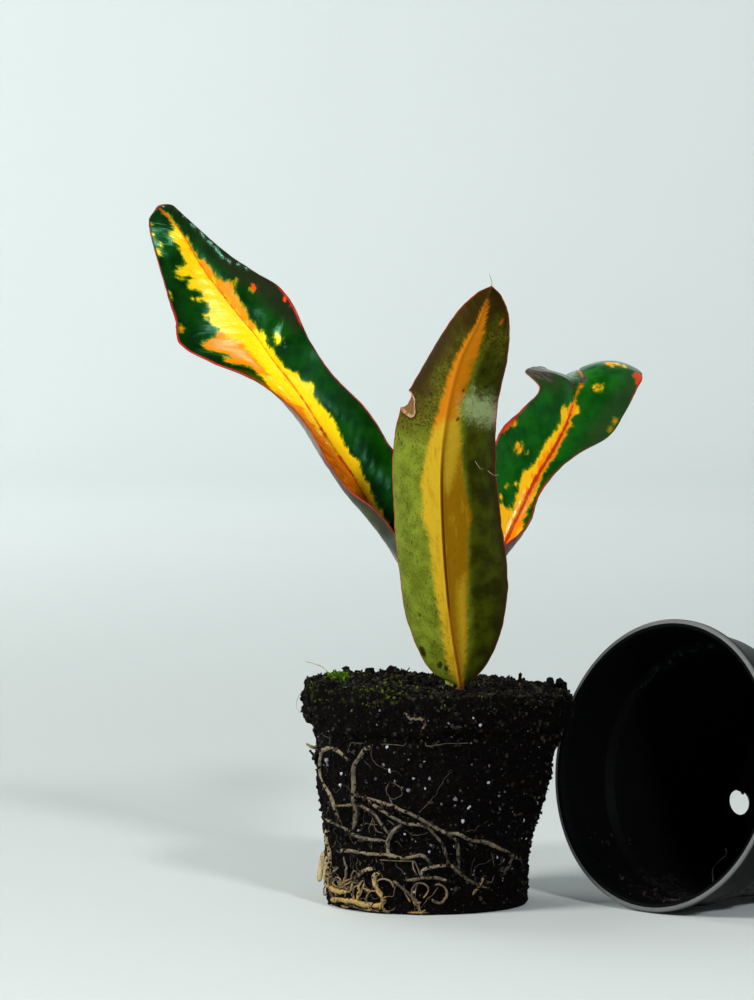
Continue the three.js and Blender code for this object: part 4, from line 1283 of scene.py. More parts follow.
# ---- root ball, roots and what lies on them ----
@dataclass
class RootBall:
    """Soil in the shape of the pot's inside, with the print of its rim, its grains and its moss."""

    rings: tuple[Point, ...] = (
        (0, 20.6, 0), (0.8, 21.1, 0), (5, 21.1, 0), (9, 21.2, 0), (13, 21.5, 0.2), (16.5, 22.3, 0.5),
        (20, 23.1, 0.7), (26, 24.3, 1.4), (31, 25.0, 1.7), (35.6, 25.6, 2.0), (36.6, 26.0, 2.1),
        (37.5, 27.4, 2.1), (40.5, 27.9, 2.2), (43.6, 27.7, 2.2))
    top: float = 44.8
    slope: float = -0.045
    top_centre: float = 2.2
    top_radius: float = 27.6
    side_top: float = 43.4
    bottom_radius: float = 20.6
    pot_turn: float = 0.35  # way from the ball to the pot, in radians
    around: int = 420
    rows: tuple[int, int, int] = (74, 156, 8)  # top, side and bottom
    root_places: list[Vector] = field(default_factory=list)

    def ring(self, height: float, column: int) -> float:
        """Radius (1) or lean to the right (2) of the side at a height."""
        heights = [ring[0] for ring in self.rings]
        return float(np.interp(height, heights, [ring[column] for ring in self.rings]))

    def row_at(self, height: float) -> float:
        """Row of the side at a height."""
        return self.rows[0] + self.rows[1] * (1 - height / self.side_top)

    def to_pot(self, turn: float) -> float:
        """How much a place around the ball faces the pot, 1 being straight at it."""
        return math.sin(turn - self.pot_turn)

    def lumps(self, turn: float, height: float) -> float:
        """Low lumps of the side, the same as on the solid."""
        waves = (0.2 * math.sin(5 * turn + 0.35 * height) + 0.16 * math.sin(8 * turn - 0.5 * height + 1)
                 + 0.12 * math.sin(13 * turn + 0.9 * height + 2))
        return smooth(height, 1, 5) * waves

    def side(self, degrees: float, height: float, outside: float = 0.0) -> Vector:
        """Point of the side, or outside it by a distance."""
        turn = math.radians(degrees)
        radius = self.ring(height, 1) + self.lumps(turn, height) + outside
        return Vector((radius * math.sin(turn) + self.ring(height, 2), -radius * math.cos(turn), height))

    def top_height(self, x: float, y: float) -> float:
        """Height of the uneven top."""
        uneven = 0.28 * math.sin(0.42 * x + 0.2 * y) + 0.22 * math.sin(0.61 * y - 0.33 * x + 1.3)
        return self.top + self.slope * (x - self.top_centre) + uneven

    def crumble(self, place: Vector) -> float:
        """Height of the crumbs at a place, in millimetres around 0."""
        lump = noise.noise(place / 2.6) + 0.6 * noise.noise(place / 1.1 + Vector((9, 4, 1)))
        crumb = 0.5 - noise.voronoi(place / 1.15)[0][0]
        return 0.42 * lump + 0.72 * crumb

    def point(self, turn: float, row: float) -> tuple[Vector, Vector]:
        """Point of the smooth outline and its outward direction.

        Args:
            turn: Angle around in radians.
            row: Row from the middle of the top down to the middle of the bottom.

        Returns:
            Place and direction, in millimetres.
        """
        above, beside, below = self.rows
        out = Vector((math.sin(turn), -math.cos(turn), 0.0))
        if row <= above:
            edge = self.top_radius
            radius = edge * row / above
            lumpy = radius + self.lumps(turn, self.rings[-1][0]) * smooth(radius, 20, edge)
            place = out * lumpy + Vector((self.top_centre, 0, 0))
            place.z = self.top_height(place.x, place.y) - 1.3 * smooth(radius, 26.3, edge)
            return place, (UP + out * smooth(radius, 25.5, edge)).normalized()
        if row <= above + beside:
            share = (row - above) / beside
            height = self.side_top * (1 - share)
            ledge = smooth(height, 33.8, 36.2) * (1 - smooth(height, 37.4, 39.5))
            waves = 0.5 * math.sin(4 * turn + 0.6) + 0.35 * math.sin(9 * turn)
            place = self.side(math.degrees(turn), height)
            place.z += (waves + 0.5 * noise.noise(out * 9)) * ledge
            return place, (out + UP * (1.0 - smooth(share, 0.0, 0.05))).normalized()
        share = (row - above - beside) / below
        return out * (self.bottom_radius * (1 - share)), -UP

    def surface(self, turn: float, row: float) -> tuple[Vector, Vector]:
        """Point of the crumbly surface and its outward direction.

        Args:
            turn: Angle around in radians.
            row: Row, as in `point`.

        Returns:
            Place and direction, in millimetres.
        """
        place, out = self.point(turn, row)
        above, beside, _ = self.rows
        if row > above + beside:
            return place, out
        size = self.crumble(place)
        if row <= above:
            size = size * 1.25 + 0.1
        else:
            band = smooth(place.z, 36.5, 38.0)
            size = size * (1 + 0.15 * band) - 0.38 * (1 - band)
            toward_pot = smooth(self.to_pot(turn), 0.5, 0.95) * band
            size = min(size, 0.9 - 0.75 * toward_pot)
        size *= smooth(place.z, 0.0, 1.5)
        return place + out * size, out

    def build(self, finish: Material) -> Piece:
        """Builds the soil and replaces the solid.

        Args:
            finish: Finish of the soil.

        Returns:
            The piece.
        """
        tree = KDTree(len(self.root_places))
        for index, place in enumerate(self.root_places):
            tree.insert(place, index)
        tree.balance()
        bm = bmesh.new()
        total = sum(self.rows)
        bmesh.ops.create_uvsphere(bm, u_segments=self.around, v_segments=total, radius=1.0)
        moss = []
        for vert in bm.verts:
            row = math.acos(max(-1.0, min(1.0, vert.co.z))) / math.pi * total
            turn = math.atan2(vert.co.x, -vert.co.y)
            place, out = self.surface(turn, row)
            if self.root_places and row > self.rows[0]:
                base, _ = self.point(turn, row)
                near = 1 - smooth(tree.find(base)[2], 0.45, 1.5)
                place = place.lerp(base + out * 0.02, near)
            place.z = max(place.z, 0.02)
            vert.co = place * MM
            moss.append(smooth(place.z, 42.0, 44.2) * (0.5 + 0.5 * smooth(-place.y, -8, 20)))
        piece = finish_mesh("soil", bm, [finish])
        keep_numbers(piece, {"moss": np.array(moss)})
        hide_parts("root_ball")
        return piece


@dataclass
class Roots:
    """Roots that run over the side of the ball, after the routes of the solids."""

    ball: RootBall
    dip: float = 0.12
    wiggle: float = 0.2
    seed: int = 11
    tangle: int = 30
    routes: dict[str, tuple[Route, ...]] = field(default_factory=dict)

    def path(self, route: Route) -> list[Vector]:
        """Middle line of a root.

        Args:
            route: The root's route.

        Returns:
            Points in millimetres.
        """
        width, _, stops = route
        lowest = width / 2 + 0.05
        points = [self.ball.side(degrees, max(height, lowest)) for degrees, height in stops]
        path = []
        for point in Rail(points).evenly(0.45):
            out = Vector((point.x - self.ball.ring(point.z, 2), point.y, 0)).normalized()
            sunk = self.dip * (noise.noise(point / 4.2 + Vector((3, 8, 5))) - 0.1)
            path.append(point + self.wiggle * noise.noise_vector(point / 1.7) + out * sunk)
        return path

    def all_paths(self) -> list[Vector]:
        """Points of all roots, for the soil to meet them."""
        return [point for routes in self.routes.values() for route in routes for point in self.path(route)]

    def build(self, name: str, node: str, slot: Slot, finish: Material) -> Piece:
        """Builds one solid's roots.

        Args:
            name: Name of the piece.
            node: Solid that it replaces.
            slot: Slot of its finish; not used.
            finish: Material.

        Returns:
            The piece.
        """
        bm = bmesh.new()
        chance = random.Random(self.seed)
        pale = []
        for route in self.routes[node]:
            path = self.path(route)
            phase = chance.uniform(0, 50)

            def radius(share: float, half: float = route[0] / 2, phase: float = phase,
                       count: int = len(path)) -> float:
                """Radius with slow and quick swelling and thinner ends."""
                swell = (0.92 + 0.28 * noise.noise(Vector((share * count / 7, phase, 0)))
                         + 0.24 * noise.noise(Vector((share * count / 2.2, phase, 5))))
                return half * swell * (0.45 + 0.55 * smooth(min(share, 1 - share), 0.0, 0.12))

            pale += [route[1]] * len(bar(bm, path, radius, 10, 0.86))
        piece = finish_mesh(name, bm, [finish])
        keep_numbers(piece, {"pale": np.array(pale)})
        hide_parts(node)
        return piece

    def fine(self, count: int, finish: Material) -> Piece:
        """Builds thin side roots that wander over the soil, and the tangle low at the left.

        Args:
            count: Number of side roots.
            finish: Finish of both.

        Returns:
            The piece.
        """
        chance = random.Random(self.seed + 1)
        bm = bmesh.new()
        starts = [stop for routes in self.routes.values() for _, _, stops in routes for stop in stops]
        pale = []
        for _ in range(count):
            degrees, height = chance.choice(starts)
            heading = chance.uniform(0, math.tau)
            path = []
            for _ in range(chance.randint(8, 26)):
                place, out = self.ball.surface(math.radians(degrees),
                                               self.ball.row_at(min(max(height, 0.6), 36)))
                path.append(place + out * 0.06)
                heading += chance.gauss(0, 0.38)
                degrees += 1.5 * math.cos(heading)
                height = min(max(height + 0.6 * math.sin(heading), 0.6), 35)
            thick = chance.uniform(0.07, 0.15)
            made = bar(bm, Rail(path).evenly(0.4), lambda share, thick=thick: thick * (1 - 0.6 * share), 5)
            pale += [chance.uniform(0.1, 0.6)] * len(made)
        for _ in range(self.tangle):
            degrees, height = chance.uniform(-88, 5), 0.7 + 8.5 * chance.random() ** 1.6
            heading, turn = chance.uniform(0, math.tau), chance.gauss(0, 0.25)
            path = []
            for _ in range(chance.randint(8, 22)):
                path.append(self.ball.side(degrees, height, chance.uniform(0.1, 0.45)))
                heading += turn + chance.gauss(0, 0.2)
                degrees += 1.7 * math.cos(heading)
                height = min(max(height + 0.6 * math.sin(heading), 0.5), 11)
            thick = chance.uniform(0.16, 0.34)
            made = bar(bm, Rail(path).evenly(0.4), lambda share, thick=thick: thick * (1 - 0.4 * share), 6)
            pale += [chance.uniform(0.1, 0.75)] * len(made)
        piece = finish_mesh("fine_roots", bm, [finish])
        keep_numbers(piece, {"pale": np.array(pale)})
        return piece


@dataclass
class Litter:
    """Loose things on the ball: perlite, crumbs, straws, moss and fine threads."""

    ball: RootBall
    specks: tuple[Point, ...]
    clods: tuple[tuple[float, float, float, float], ...]
    seed: int = 21
    perlite_count: int = 420
    clinging: int = 1200  # crumbs on the roots
    crumbs_at_splinter: int = 26
    splinter_foot: Point = (-22.9, -1.5, 30.4)
    cushion_count: int = 210

    def __post_init__(self) -> None:
        """Starts the source of chance."""
        self.chance = random.Random(self.seed)

    def anywhere(self, low: float, high: float) -> tuple[float, Vector, Vector]:
        """Random place between two rows: angle, place and outward direction."""
        turn = self.chance.uniform(-math.pi, math.pi)
        return turn, *self.ball.surface(turn, self.chance.uniform(low, high))

    def on_top(self, reach: Callable[[float], float]) -> tuple[float, Vector, Vector]:
        """Random place on the top, at a share of its radius that `reach` gives for a chance."""
        turn = self.chance.uniform(-math.pi, math.pi)
        return turn, *self.ball.surface(turn, self.ball.rows[0] * reach(self.chance.random()))

    def perlite(self, finish: Material) -> Piece:
        """White specks, most of them in the middle of the side.

        Args:
            finish: Finish of the specks.

        Returns:
            The piece.
        """
        chance = self.chance
        above, beside, _ = self.ball.rows
        places = []
        for degrees, height, radius in self.specks:
            place, out = self.ball.surface(math.radians(degrees), self.ball.row_at(height))
            places.append((place - out * radius * 0.15, radius))
        while len(places) < self.perlite_count:
            _, place, out = self.anywhere(above, above + beside)
            middle = smooth(place.z, 1, 12) * (1 - smooth(place.z, 30, 38))
            if chance.random() < 0.25 + 0.75 * middle:
                radius = 0.07 + 0.24 * chance.random() ** 3
                places.append((place - out * radius * 0.3, radius))
        piece = grains("perlite", places, finish, chance, 1.5, 2)
        return piece

    def crumbs(self, count: int, finish: Material) -> Piece:
        """Soil crumbs, larger and more of them on top.

        Args:
            count: Number of crumbs on the soil itself.
            finish: Finish of the crumbs.

        Returns:
            The piece.
        """
        chance = self.chance
        above, beside, _ = self.ball.rows
        places = []
        while len(places) < count:
            top = chance.random() < 0.5
            if top:
                turn, place, out = self.on_top(math.sqrt)
            else:
                low = 0.22 if chance.random() < 0.35 else 0.97
                turn, place, out = self.anywhere(above, above + beside * low)
            radius = 0.14 + 0.34 * chance.random() ** 2
            if top:
                radius *= 1.1
            elif self.ball.to_pot(turn) > 0.6 and place.z > 36:
                radius *= 0.5
            places.append((place + out * radius * 0.2, radius))
        for _ in range(self.clinging):
            place = chance.choice(self.ball.root_places)
            out = Vector((place.x - 1.0, place.y, 0)).normalized()
            aside = Vector((-out.y, out.x, 0)) * chance.gauss(0, 0.45) + UP * chance.gauss(0, 0.45)
            radius = chance.uniform(0.14, 0.42)
            places.append((place + aside + out * chance.uniform(0.1, 0.4), radius))
        for _ in range(self.crumbs_at_splinter):
            aside = scatter(chance, 0.55)
            places.append((Vector(self.splinter_foot) + aside, chance.uniform(0.25, 0.5)))
        piece = grains("soil_crumbs", places, finish, chance, 1.8)
        return piece

    def moss(self, count: int, finish: Material) -> Piece:
        """Sparse moss on the top, most of it along the front edge.

        Args:
            count: Number of bits of moss.
            finish: Finish of the bits.

        Returns:
            The piece.
        """
        chance = self.chance
        places = []
        while len(places) < count:
            _, place, out = self.on_top(lambda share: 1.04 - 0.75 * share ** 1.6)
            tuft = noise.noise(place / 2.6 + Vector((4, 2, 7)))
            left = smooth(-place.x, -10, 10)
            if tuft + 0.3 * left + 0.1 * smooth(-place.y, 0, 20) < chance.uniform(0.25, 0.75):
                continue
            radius = chance.uniform(0.10, 0.27)
            places.append((place + out * chance.uniform(0.0, 0.4), radius))
        piece = grains("moss", places, finish, chance, 2.4)
        return piece

    def cushion(self, finish: Material) -> Piece:
        """Bright cushion of moss at the left of the top.

        Args:
            finish: Finish of the cushion.

        Returns:
            The piece.
        """
        chance = self.chance
        above = self.ball.rows[0]
        places = []
        for _ in range(self.cushion_count):
            turn = math.radians(chance.gauss(-98, 5))
            place, out = self.ball.surface(turn, above * chance.gauss(0.76, 0.035))
            places.append((place + out * chance.uniform(0.1, 1.3), chance.uniform(0.14, 0.30)))
        piece = grains("moss_cushion", places, finish, chance, 2.4)
        return piece

    def straws(self, count: int, finish: Material) -> Piece:
        """Short dark straws and bits of bark, and clods that stand up at the right of the top.

        Args:
            count: Number of straws.
            finish: Finish of them all.

        Returns:
            The piece.
        """
        chance = self.chance
        above, beside, _ = self.ball.rows
        shares = np.linspace(0, 1, 9)
        bm = bmesh.new()
        for index in range(count):
            if index % 2:
                turn, place, out = self.on_top(math.sqrt)
            else:
                turn, place, out = self.anywhere(above, above + beside * 0.95)
            if place.z > 35 and self.ball.to_pot(turn) > 0.6:
                continue
            lean = scatter(chance)
            lean = (lean - out * lean.dot(out) * chance.uniform(0.6, 1.05)).normalized()
            length = chance.uniform(1.0, 3.4)
            thick = chance.uniform(0.05, 0.17)
            bend = noise.noise_vector(place) * 0.5
            path = [place + out * 0.1 + lean * length * (share - 0.5) + bend * math.sin(share * 3.1)
                    for share in shares]
            bar(bm, path, lambda share, thick=thick: thick, 5, chance.uniform(0.4, 1.0))
        for degrees, row, tall, thick in self.clods:
            place, out = self.ball.surface(math.radians(degrees), above * row)
            side = Vector((chance.uniform(-0.4, 0.4), chance.uniform(-0.2, 0.2), 0))
            path = [place + UP * tall * (share * 1.5 - 0.5) + side * share for share in shares]
            new = bar(bm, path, lambda share, thick=thick: thick * (1 - 0.35 * share), 10, 0.7)
            for vert in new:
                vert.co += noise.noise_vector(vert.co / MM / 0.8) * 0.35 * thick * MM
        piece = finish_mesh("straws", bm, [finish])
        return piece

    def threads(self, routes: dict[str, Thread], finish: Material) -> list[Piece]:
        """Hairs and strips.

        Args:
            routes: Their lines by name.
            finish: Finish of them all.

        Returns:
            The pieces.
        """
        pieces = []
        for name, (points, half, flat) in routes.items():
            bm = bmesh.new()
            bar(bm, Rail(points).evenly(0.3), lambda share, half=half: half * (1 - 0.5 * share), 8, flat,
                Vector((-0.3, -1.0, 0.1)))
            piece = finish_mesh(name, bm, [finish])
            keep_numbers(piece, {"pale": np.full(len(piece.data.vertices), 0.6)})
            pieces.append(piece)
        return pieces


@dataclass
class Stem:
    """Short woody stem with leaf scars and the pointed bud between the leaves."""

    foot: Point = (6, -2, 33)
    outline: tuple[tuple[float, float], ...] = (
        (0, 0), (1.6, 0), (2.3, 1.5), (2.3, 13), (2.55, 14), (2.3, 15), (2.2, 17.2), (2.4, 18), (2.1, 19),
        (1.8, 21.5), (1.9, 22.3), (1.5, 23.3), (1.3, 25.5), (0.7, 28), (0, 29.2))

    def build(self, finish: Material) -> Piece:
        """Builds the stem and replaces the solid.

        Args:
            finish: Finish of the bark.

        Returns:
            The piece.
        """
        heights = [height for _, height in self.outline]
        radii = [radius for radius, _ in self.outline]
        path = [Vector(self.foot) + Vector((0.1 * math.sin(h / 3), 0.1 * math.cos(h / 4), h))
                for h in np.linspace(0.3, 29.1, 90)]

        def radius(share: float) -> float:
            """Radius of the outline with fine ribs of bark."""
            return float(np.interp(0.3 + 28.8 * share, heights[1:], radii[1:])) + 0.04 * math.sin(share * 90)

        bm = bmesh.new()
        bar(bm, path, radius, 28)
        for vert in bm.verts:
            out = Vector((vert.co.x - self.foot[0] * MM, vert.co.y - self.foot[1] * MM, 0)).normalized()
            vert.co += out * (0.06 * MM * noise.noise(vert.co * 900))
        piece = finish_mesh("stem_and_bud", bm, [finish])
        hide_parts("stem")
        return piece


ROUTES: dict[str, tuple[Route, ...]] = {
    "roots_front": (
        (1, 0.75, ((-45, 30.8), (-49, 32.1), (-54, 33), (-60, 33.1), (-68, 32.1), (-73, 29.5), (-73, 26.7),
            (-68, 24.8), (-62, 23.2), (-58, 21.7), (-55, 19.4), (-53, 17.2))),
        (1.2, 0.42, ((-31, 34.9), (-36, 33.6), (-39, 31.7), (-42, 30.2), (-43, 25.5), (-43, 23.1),
            (-42, 20.7), (-43, 18.2), (-45, 16.4))),
        (0.85, 0.5, ((-57, 21.3), (-47, 21.8), (-41, 22.1), (-35, 21.3), (-30, 20.2), (-27, 18.6),
            (-22, 16.2))),
        (1.05, 0.55, ((-43, 24.2), (-27, 23), (-16, 21.6), (-8, 20.3), (0, 18.5), (7, 17), (14, 16.7),
            (22, 15.2), (31, 14.6), (41, 13.1), (53, 11.1), (65, 9.4))),
        (0.9, 0.45, ((-35, 23.4), (-23, 20.6), (-14, 18.9), (-4, 18.3), (3, 16.1), (8, 13.3), (11, 10.1))),
        (0.85, 0.38, ((7, 17), (14, 15.1), (16, 12.3), (17, 9))),
        (0.95, 0.85, ((11, 10.1), (2, 9.8), (-3, 9.1), (-5, 7.3))),
        (0.85, 0.3, ((11, 10.5), (16, 8.8), (21, 7.4), (27, 6.1), (35, 5))),
        (0.95, 0.5, ((-14, 18.9), (-18, 17.9), (-21, 16.6), (-23, 15), (-23, 13.2), (-22, 11.2))),
        (0.95, 0.6, ((-66, 11.3), (-49, 12.2), (-37, 12.1), (-22, 12), (-13, 11.6), (-4, 12.2), (0, 11),
            (4, 9.8))),
        (0.95, 0.5, ((-72, 18), (-61, 17.6), (-52, 16.9), (-40, 15.3), (-33, 15.1), (-23, 14.9))),
        (0.85, 0.4, ((-14, 7), (-7, 7.4), (-1, 7.7), (6, 7.4), (11, 6.8))),
        (0.85, 1.1, ((25, 3.7), (28, 5.2), (31, 6.8), (33, 7.6))),
        (0.85, 0.25, ((54, 11.1), (51, 9.8), (47, 8.4), (42, 8.4))),
    ),
    "roots_base": (
        (1.3, 0.7, ((-74, 1), (-59, 1.7), (-47, 1.8), (-34, 1.5), (-27, 1.7), (-25, 2.8), (-28, 4.2),
            (-31, 6.1), (-31, 7.6), (-28, 8.1), (-26, 7))),
        (1.2, 0.6, ((-73, 16), (-77, 13.4), (-72, 10.9), (-71, 8.2), (-73, 5.9), (-73, 4))),
        (1.5, 1.2, ((-86, 4.6), (-71, 3.9), (-60, 3.4), (-48, 3.9))),
        (1, 0.45, ((-46, 1.8), (-48, 4.4), (-47, 6), (-40, 8.1), (-35, 9), (-30, 9))),
        (0.9, 0.45, ((-43, 1.8), (-42, 5.1), (-40, 6.2), (-38, 4.6), (-33, 4.2))),
    ),
    "root_curl": (
        (0.8, 0.6, ((-15, 41.8), (-12, 40.6), (-8, 40.6), (-6, 39.4), (-8, 38.4))),
    ),
    "roots_back": (
        (1.1, 0.5, ((108, 26.8), (113, 24), (124, 21.5), (138, 20), (152, 17.5), (166, 16.5), (181, 14),
            (196, 13.4), (212, 11), (226, 10.4))),
        (1, 0.45, ((150, 33.5), (153, 29), (150, 24.5), (153, 20.5), (152, 16.5), (147, 12.5), (150, 8.5),
            (156, 5))),
        (0.95, 0.5, ((212, 33), (207, 28), (210, 23), (205, 18.5), (207, 14.5), (203, 9), (196, 6.2))),
        (0.85, 0.4, ((181, 14.2), (176, 10.5), (180, 7), (190, 4.4), (204, 3.4), (218, 3.9))),
        (0.85, 0.45, ((124, 21.6), (121, 16.5), (125, 12), (120, 8), (112, 5.4))),
        (0.9, 0.5, ((226, 10.4), (236, 13.2), (247, 13.8), (256, 17.2), (262, 22))),
    ),
}

SPECKS: tuple[Point, ...] = (  # larger perlite grains: angle, height, radius
    (-40.4, 41.6, 0.3), (-25.5, 42, 0.25), (-65.1, 30.3, 0.5), (-22.7, 29.6, 0.45), (-36, 27, 0.42),
    (-29.7, 27.8, 0.38), (-53.2, 28, 0.38), (-54.6, 25.6, 0.42), (-13.1, 25.6, 0.5), (10.1, 24, 0.45),
    (18.2, 22, 0.42), (15.9, 19.3, 0.38), (26.5, 27, 0.34), (-3.2, 28.2, 0.3), (-11.1, 28.1, 0.28),
    (16.9, 39.2, 0.36), (13.8, 40.7, 0.25), (15.3, 35, 0.28), (5.8, 36, 0.25), (23.2, 42.4, 0.22),
    (-8.1, 4.6, 0.3), (0.3, 14.3, 0.3), (6, 13.1, 0.28), (13, 14, 0.28), (-24.5, 34.4, 0.35),
    (-13.6, 32, 0.22), (-6.2, 31.6, 0.2), (3.9, 22.9, 0.26), (-27.1, 39.1, 0.2), (-4.8, 40.3, 0.2),
    (3.6, 39.8, 0.22), (-5.2, 37, 0.2), (57.7, 33.3, 0.2), (25.4, 30.5, 0.25), (34.1, 28.2, 0.22),
    (-16.4, 26.2, 0.2), (-5.1, 26.1, 0.22), (12.2, 25.6, 0.22), (-21.8, 23.4, 0.24), (-13, 8.4, 0.24),
    (-10, 15.4, 0.24), (-14.3, 16.5, 0.22), (-64.1, 29.6, 0.35), (-26.1, 30.7, 0.35),
)

CLODS = (  # clods that stand on the top: angle, share of the top's radius, height, thickness
    (112, 0.66, 2.8, 0.8), (98, 0.86, 3.2, 1.3), (101, 0.93, 2, 1.3), (96, 0.97, 2.4, 1), (103, 0.74, 1, 0.9),
    (-134, 0.96, 1.6, 1.5), (-140, 0.94, 1, 1.1), (-148, 0.96, 1.2, 1.7), (-158, 0.9, 1, 1.9),
    (30, 0.95, 0.8, 0.4), (-40, 0.95, 0.9, 0.5),
)


# ---- pot ----
@dataclass
class Pot:
    """Empty nursery pot on its side, as outlines of (radius, depth from the mouth)."""

    outside: tuple[tuple[float, float], ...] = (
        (29.15, -0.02), (29.75, 0.02), (29.98, 0.25), (30.0, 1.05), (29.85, 1.22), (28.95, 1.5),
        (28.75, 1.75), (28.0, 11.6), (27.85, 12.1), (26.8, 13.0), (26.6, 13.4), (21.95, 47.2), (21.6, 48.6),
        (21.0, 49.5), (20.2, 49.98), (14.6, 50.0), (14.2, 49.85), (13.6, 49.4), (6.0, 49.4))
    inside: tuple[tuple[float, float], ...] = (
        (6.0, 48.5), (19.2, 48.5), (20.2, 48.2), (20.6, 47.4), (25.6, 13.9), (25.8, 13.4), (26.9, 12.6),
        (27.05, 12.2), (27.85, 1.6), (27.95, 1.1), (28.4, 0.1), (28.7, -0.02))
    mouth: tuple[float, float] = (47.7, -13.7)
    yaw: float = 45.8
    steps: int = 176
    rim_edge: tuple[float, float] = (30.0, 1.2)  # the pot lies on these two edges: radius and depth
    foot_edge: tuple[float, float] = (21.9, 47.6)
    holes: int = 6
    hole_radius: float = 2.6
    hole_ring: float = 20.3
    hole_depth: float = 47.5
    hole_first: float = 16.0
    hole_shape: tuple[float, float] = (1.08, 0.82)  # along and across the lower edge
    drill_length: float = 8.0
    lip_from: float = 29.1
    sharp: float = 35.0  # degrees
    chip: tuple[float, float, float] = (1.45, 19.9, 48.0)  # soil at the hole: turn, radius, depth
    chip_grains: int = 12
    fibre: tuple[Point, ...] = (  # turn, depth, lift off the wall
        (0.80, 40, 0.0), (0.68, 38, 0.8), (0.60, 35, 0.4), (0.48, 31, 0.6), (0.29, 27.5, 0.0))
    fibre_half: float = 0.16

    def place(self) -> Matrix:
        """Frame of the pot in the part.

        Returns:
            The frame in metres, Y running from the mouth to the bottom and Z down.
        """
        tilt = math.atan2(self.rim_edge[0] - self.foot_edge[0], self.foot_edge[1] - self.rim_edge[1])
        yaw = math.radians(self.yaw)
        axis = Vector((math.sin(yaw) * math.cos(tilt), math.cos(yaw) * math.cos(tilt), -math.sin(tilt)))
        down = (axis * axis.z - UP).normalized()
        height = self.rim_edge[0] * math.cos(tilt) + self.rim_edge[1] * math.sin(tilt)
        turn = Matrix((axis.cross(down), axis, down)).transposed().to_4x4()
        return Matrix.Translation(Vector((*self.mouth, height)) * MM) @ turn

    def inner(self, turn: float, depth: float, inwards: float = 0.0) -> Vector:
        """Point of the inner wall.

        Args:
            turn: Angle from the lowest line in radians.
            depth: Depth from the mouth.
            inwards: Distance from the wall.

        Returns:
            The point, in millimetres of the part.
        """
        radii, depths = zip(*self.inside[:0:-1])
        radius = np.interp(depth, depths, radii) - inwards
        local = Vector((radius * math.sin(turn), depth, radius * math.cos(turn)))
        return self.place() @ (local * MM) / MM

    def build(self, body: Material, lining: Material,
              lip: Material) -> Piece:
        """Builds the pot and replaces the solid.

        Args:
            body: Finish of the outside.
            lining: Finish of the inside.
            lip: Finish of the rim's face.

        Returns:
            The piece.
        """
        bm = bmesh.new()
        outside = [*self.outside]
        outside.insert(0, (self.lip_from, self.outside[0][1]))
        profile = [(0.0, self.outside[-1][1]), *reversed(outside), *reversed(self.inside),
                   (0.0, self.inside[0][1])]
        corners = [bm.verts.new(Vector((radius, depth, 0)) * MM) for radius, depth in profile]
        ring = [bm.edges.new(pair) for pair in zip(corners, corners[1:])]
        bmesh.ops.subdivide_edges(bm, edges=[edge for edge in ring if edge.calc_length() > 0.006], cuts=16)
        bmesh.ops.spin(bm, geom=bm.verts[:] + bm.edges[:], axis=(0, 1, 0), cent=(0, 0, 0), angle=math.tau,
                       steps=self.steps, use_merge=True)
        bmesh.ops.remove_doubles(bm, verts=bm.verts[:], dist=1e-7)
        bmesh.ops.recalc_face_normals(bm, faces=bm.faces[:])
        piece = finish_mesh("nursery_pot", bm, [body, lining, lip])
        self.drill(piece)
        self.dress(piece)
        piece.data.transform(self.place())
        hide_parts("pot")
        return piece

    def drill(self, piece: Piece) -> None:
        """Cuts the drain holes through the lower edge.

        Args:
            piece: The upright pot.
        """
        bm = bmesh.new()
        for index in range(self.holes):
            turn = math.radians(self.hole_first + 360 / self.holes * index)
            place = (Matrix.Rotation(turn, 4, "Y")
                     @ Matrix.Translation(Vector((0, self.hole_depth, self.hole_ring)) * MM)
                     @ Matrix.Rotation(-math.pi / 4, 4, "X")
                     @ Matrix.Diagonal((*self.hole_shape, 1.0, 1.0)))
            bmesh.ops.create_cone(bm, cap_ends=True, segments=40, radius1=self.hole_radius * MM,
                                  radius2=self.hole_radius * MM, depth=self.drill_length * MM,
                                  matrix=place)
        mesh = bpy.data.meshes.new("drill")
        bm.to_mesh(mesh)
        bm.free()
        cutter = bpy.data.objects.new("drill", mesh)
        bpy.context.scene.collection.objects.link(cutter)
        cut = piece.modifiers.new("drain", "BOOLEAN")
        cut.operation, cut.solver, cut.object = "DIFFERENCE", "EXACT", cutter
        graph = bpy.context.evaluated_depsgraph_get()
        made = bpy.data.meshes.new_from_object(piece.evaluated_get(graph))
        piece.modifiers.clear()
        piece.data = made
        bpy.data.objects.remove(cutter)

    def dress(self, piece: Piece) -> None:
        """Gives each face its finish, and keeps where the pot is worn or soiled.

        Args:
            piece: The upright pot.
        """
        mesh = piece.data
        wear, soiled, marked = [], [], []
        for vert in mesh.vertices:
            depth = vert.co.y / MM
            radius = math.hypot(vert.co.x, vert.co.z) / MM
            lowest = vert.co.z / MM / max(radius, 1e-6)
            wear.append(smooth(radius, 29.2, 29.95) * (0.2 if depth < 0.6 else 0.05)
                        + (0.12 if 11.7 < depth < 12.2 and radius > 27 else 0.0))
            soiled.append(smooth(lowest, 0.72, 0.98) * smooth(depth, 2, 9) * (radius < 28.3))
            at_step = math.exp(-((depth - 13.2) / 1.4) ** 2)
            marked.append(at_step * smooth(-lowest, 0.45, 0.7) * (radius < 26.4))
        for face in mesh.polygons:
            centre, normal = face.center, face.normal
            depth = centre.y / MM
            outward = normal.x * centre.x + normal.z * centre.z
            if depth < 0.3 and normal.y < -0.5 and math.hypot(centre.x, centre.z) > self.lip_from * MM:
                face.material_index = 2
            elif outward < 0 or (normal.y < -0.5 and (depth > 40 or depth < 0.3)):
                face.material_index = 1
            else:
                face.material_index = 0
            face.use_smooth = True
        keep_numbers(piece, {"wear": np.array(wear), "soiled": np.array(soiled), "marked": np.array(marked)})
        mesh.set_sharp_from_angle(angle=math.radians(self.sharp))

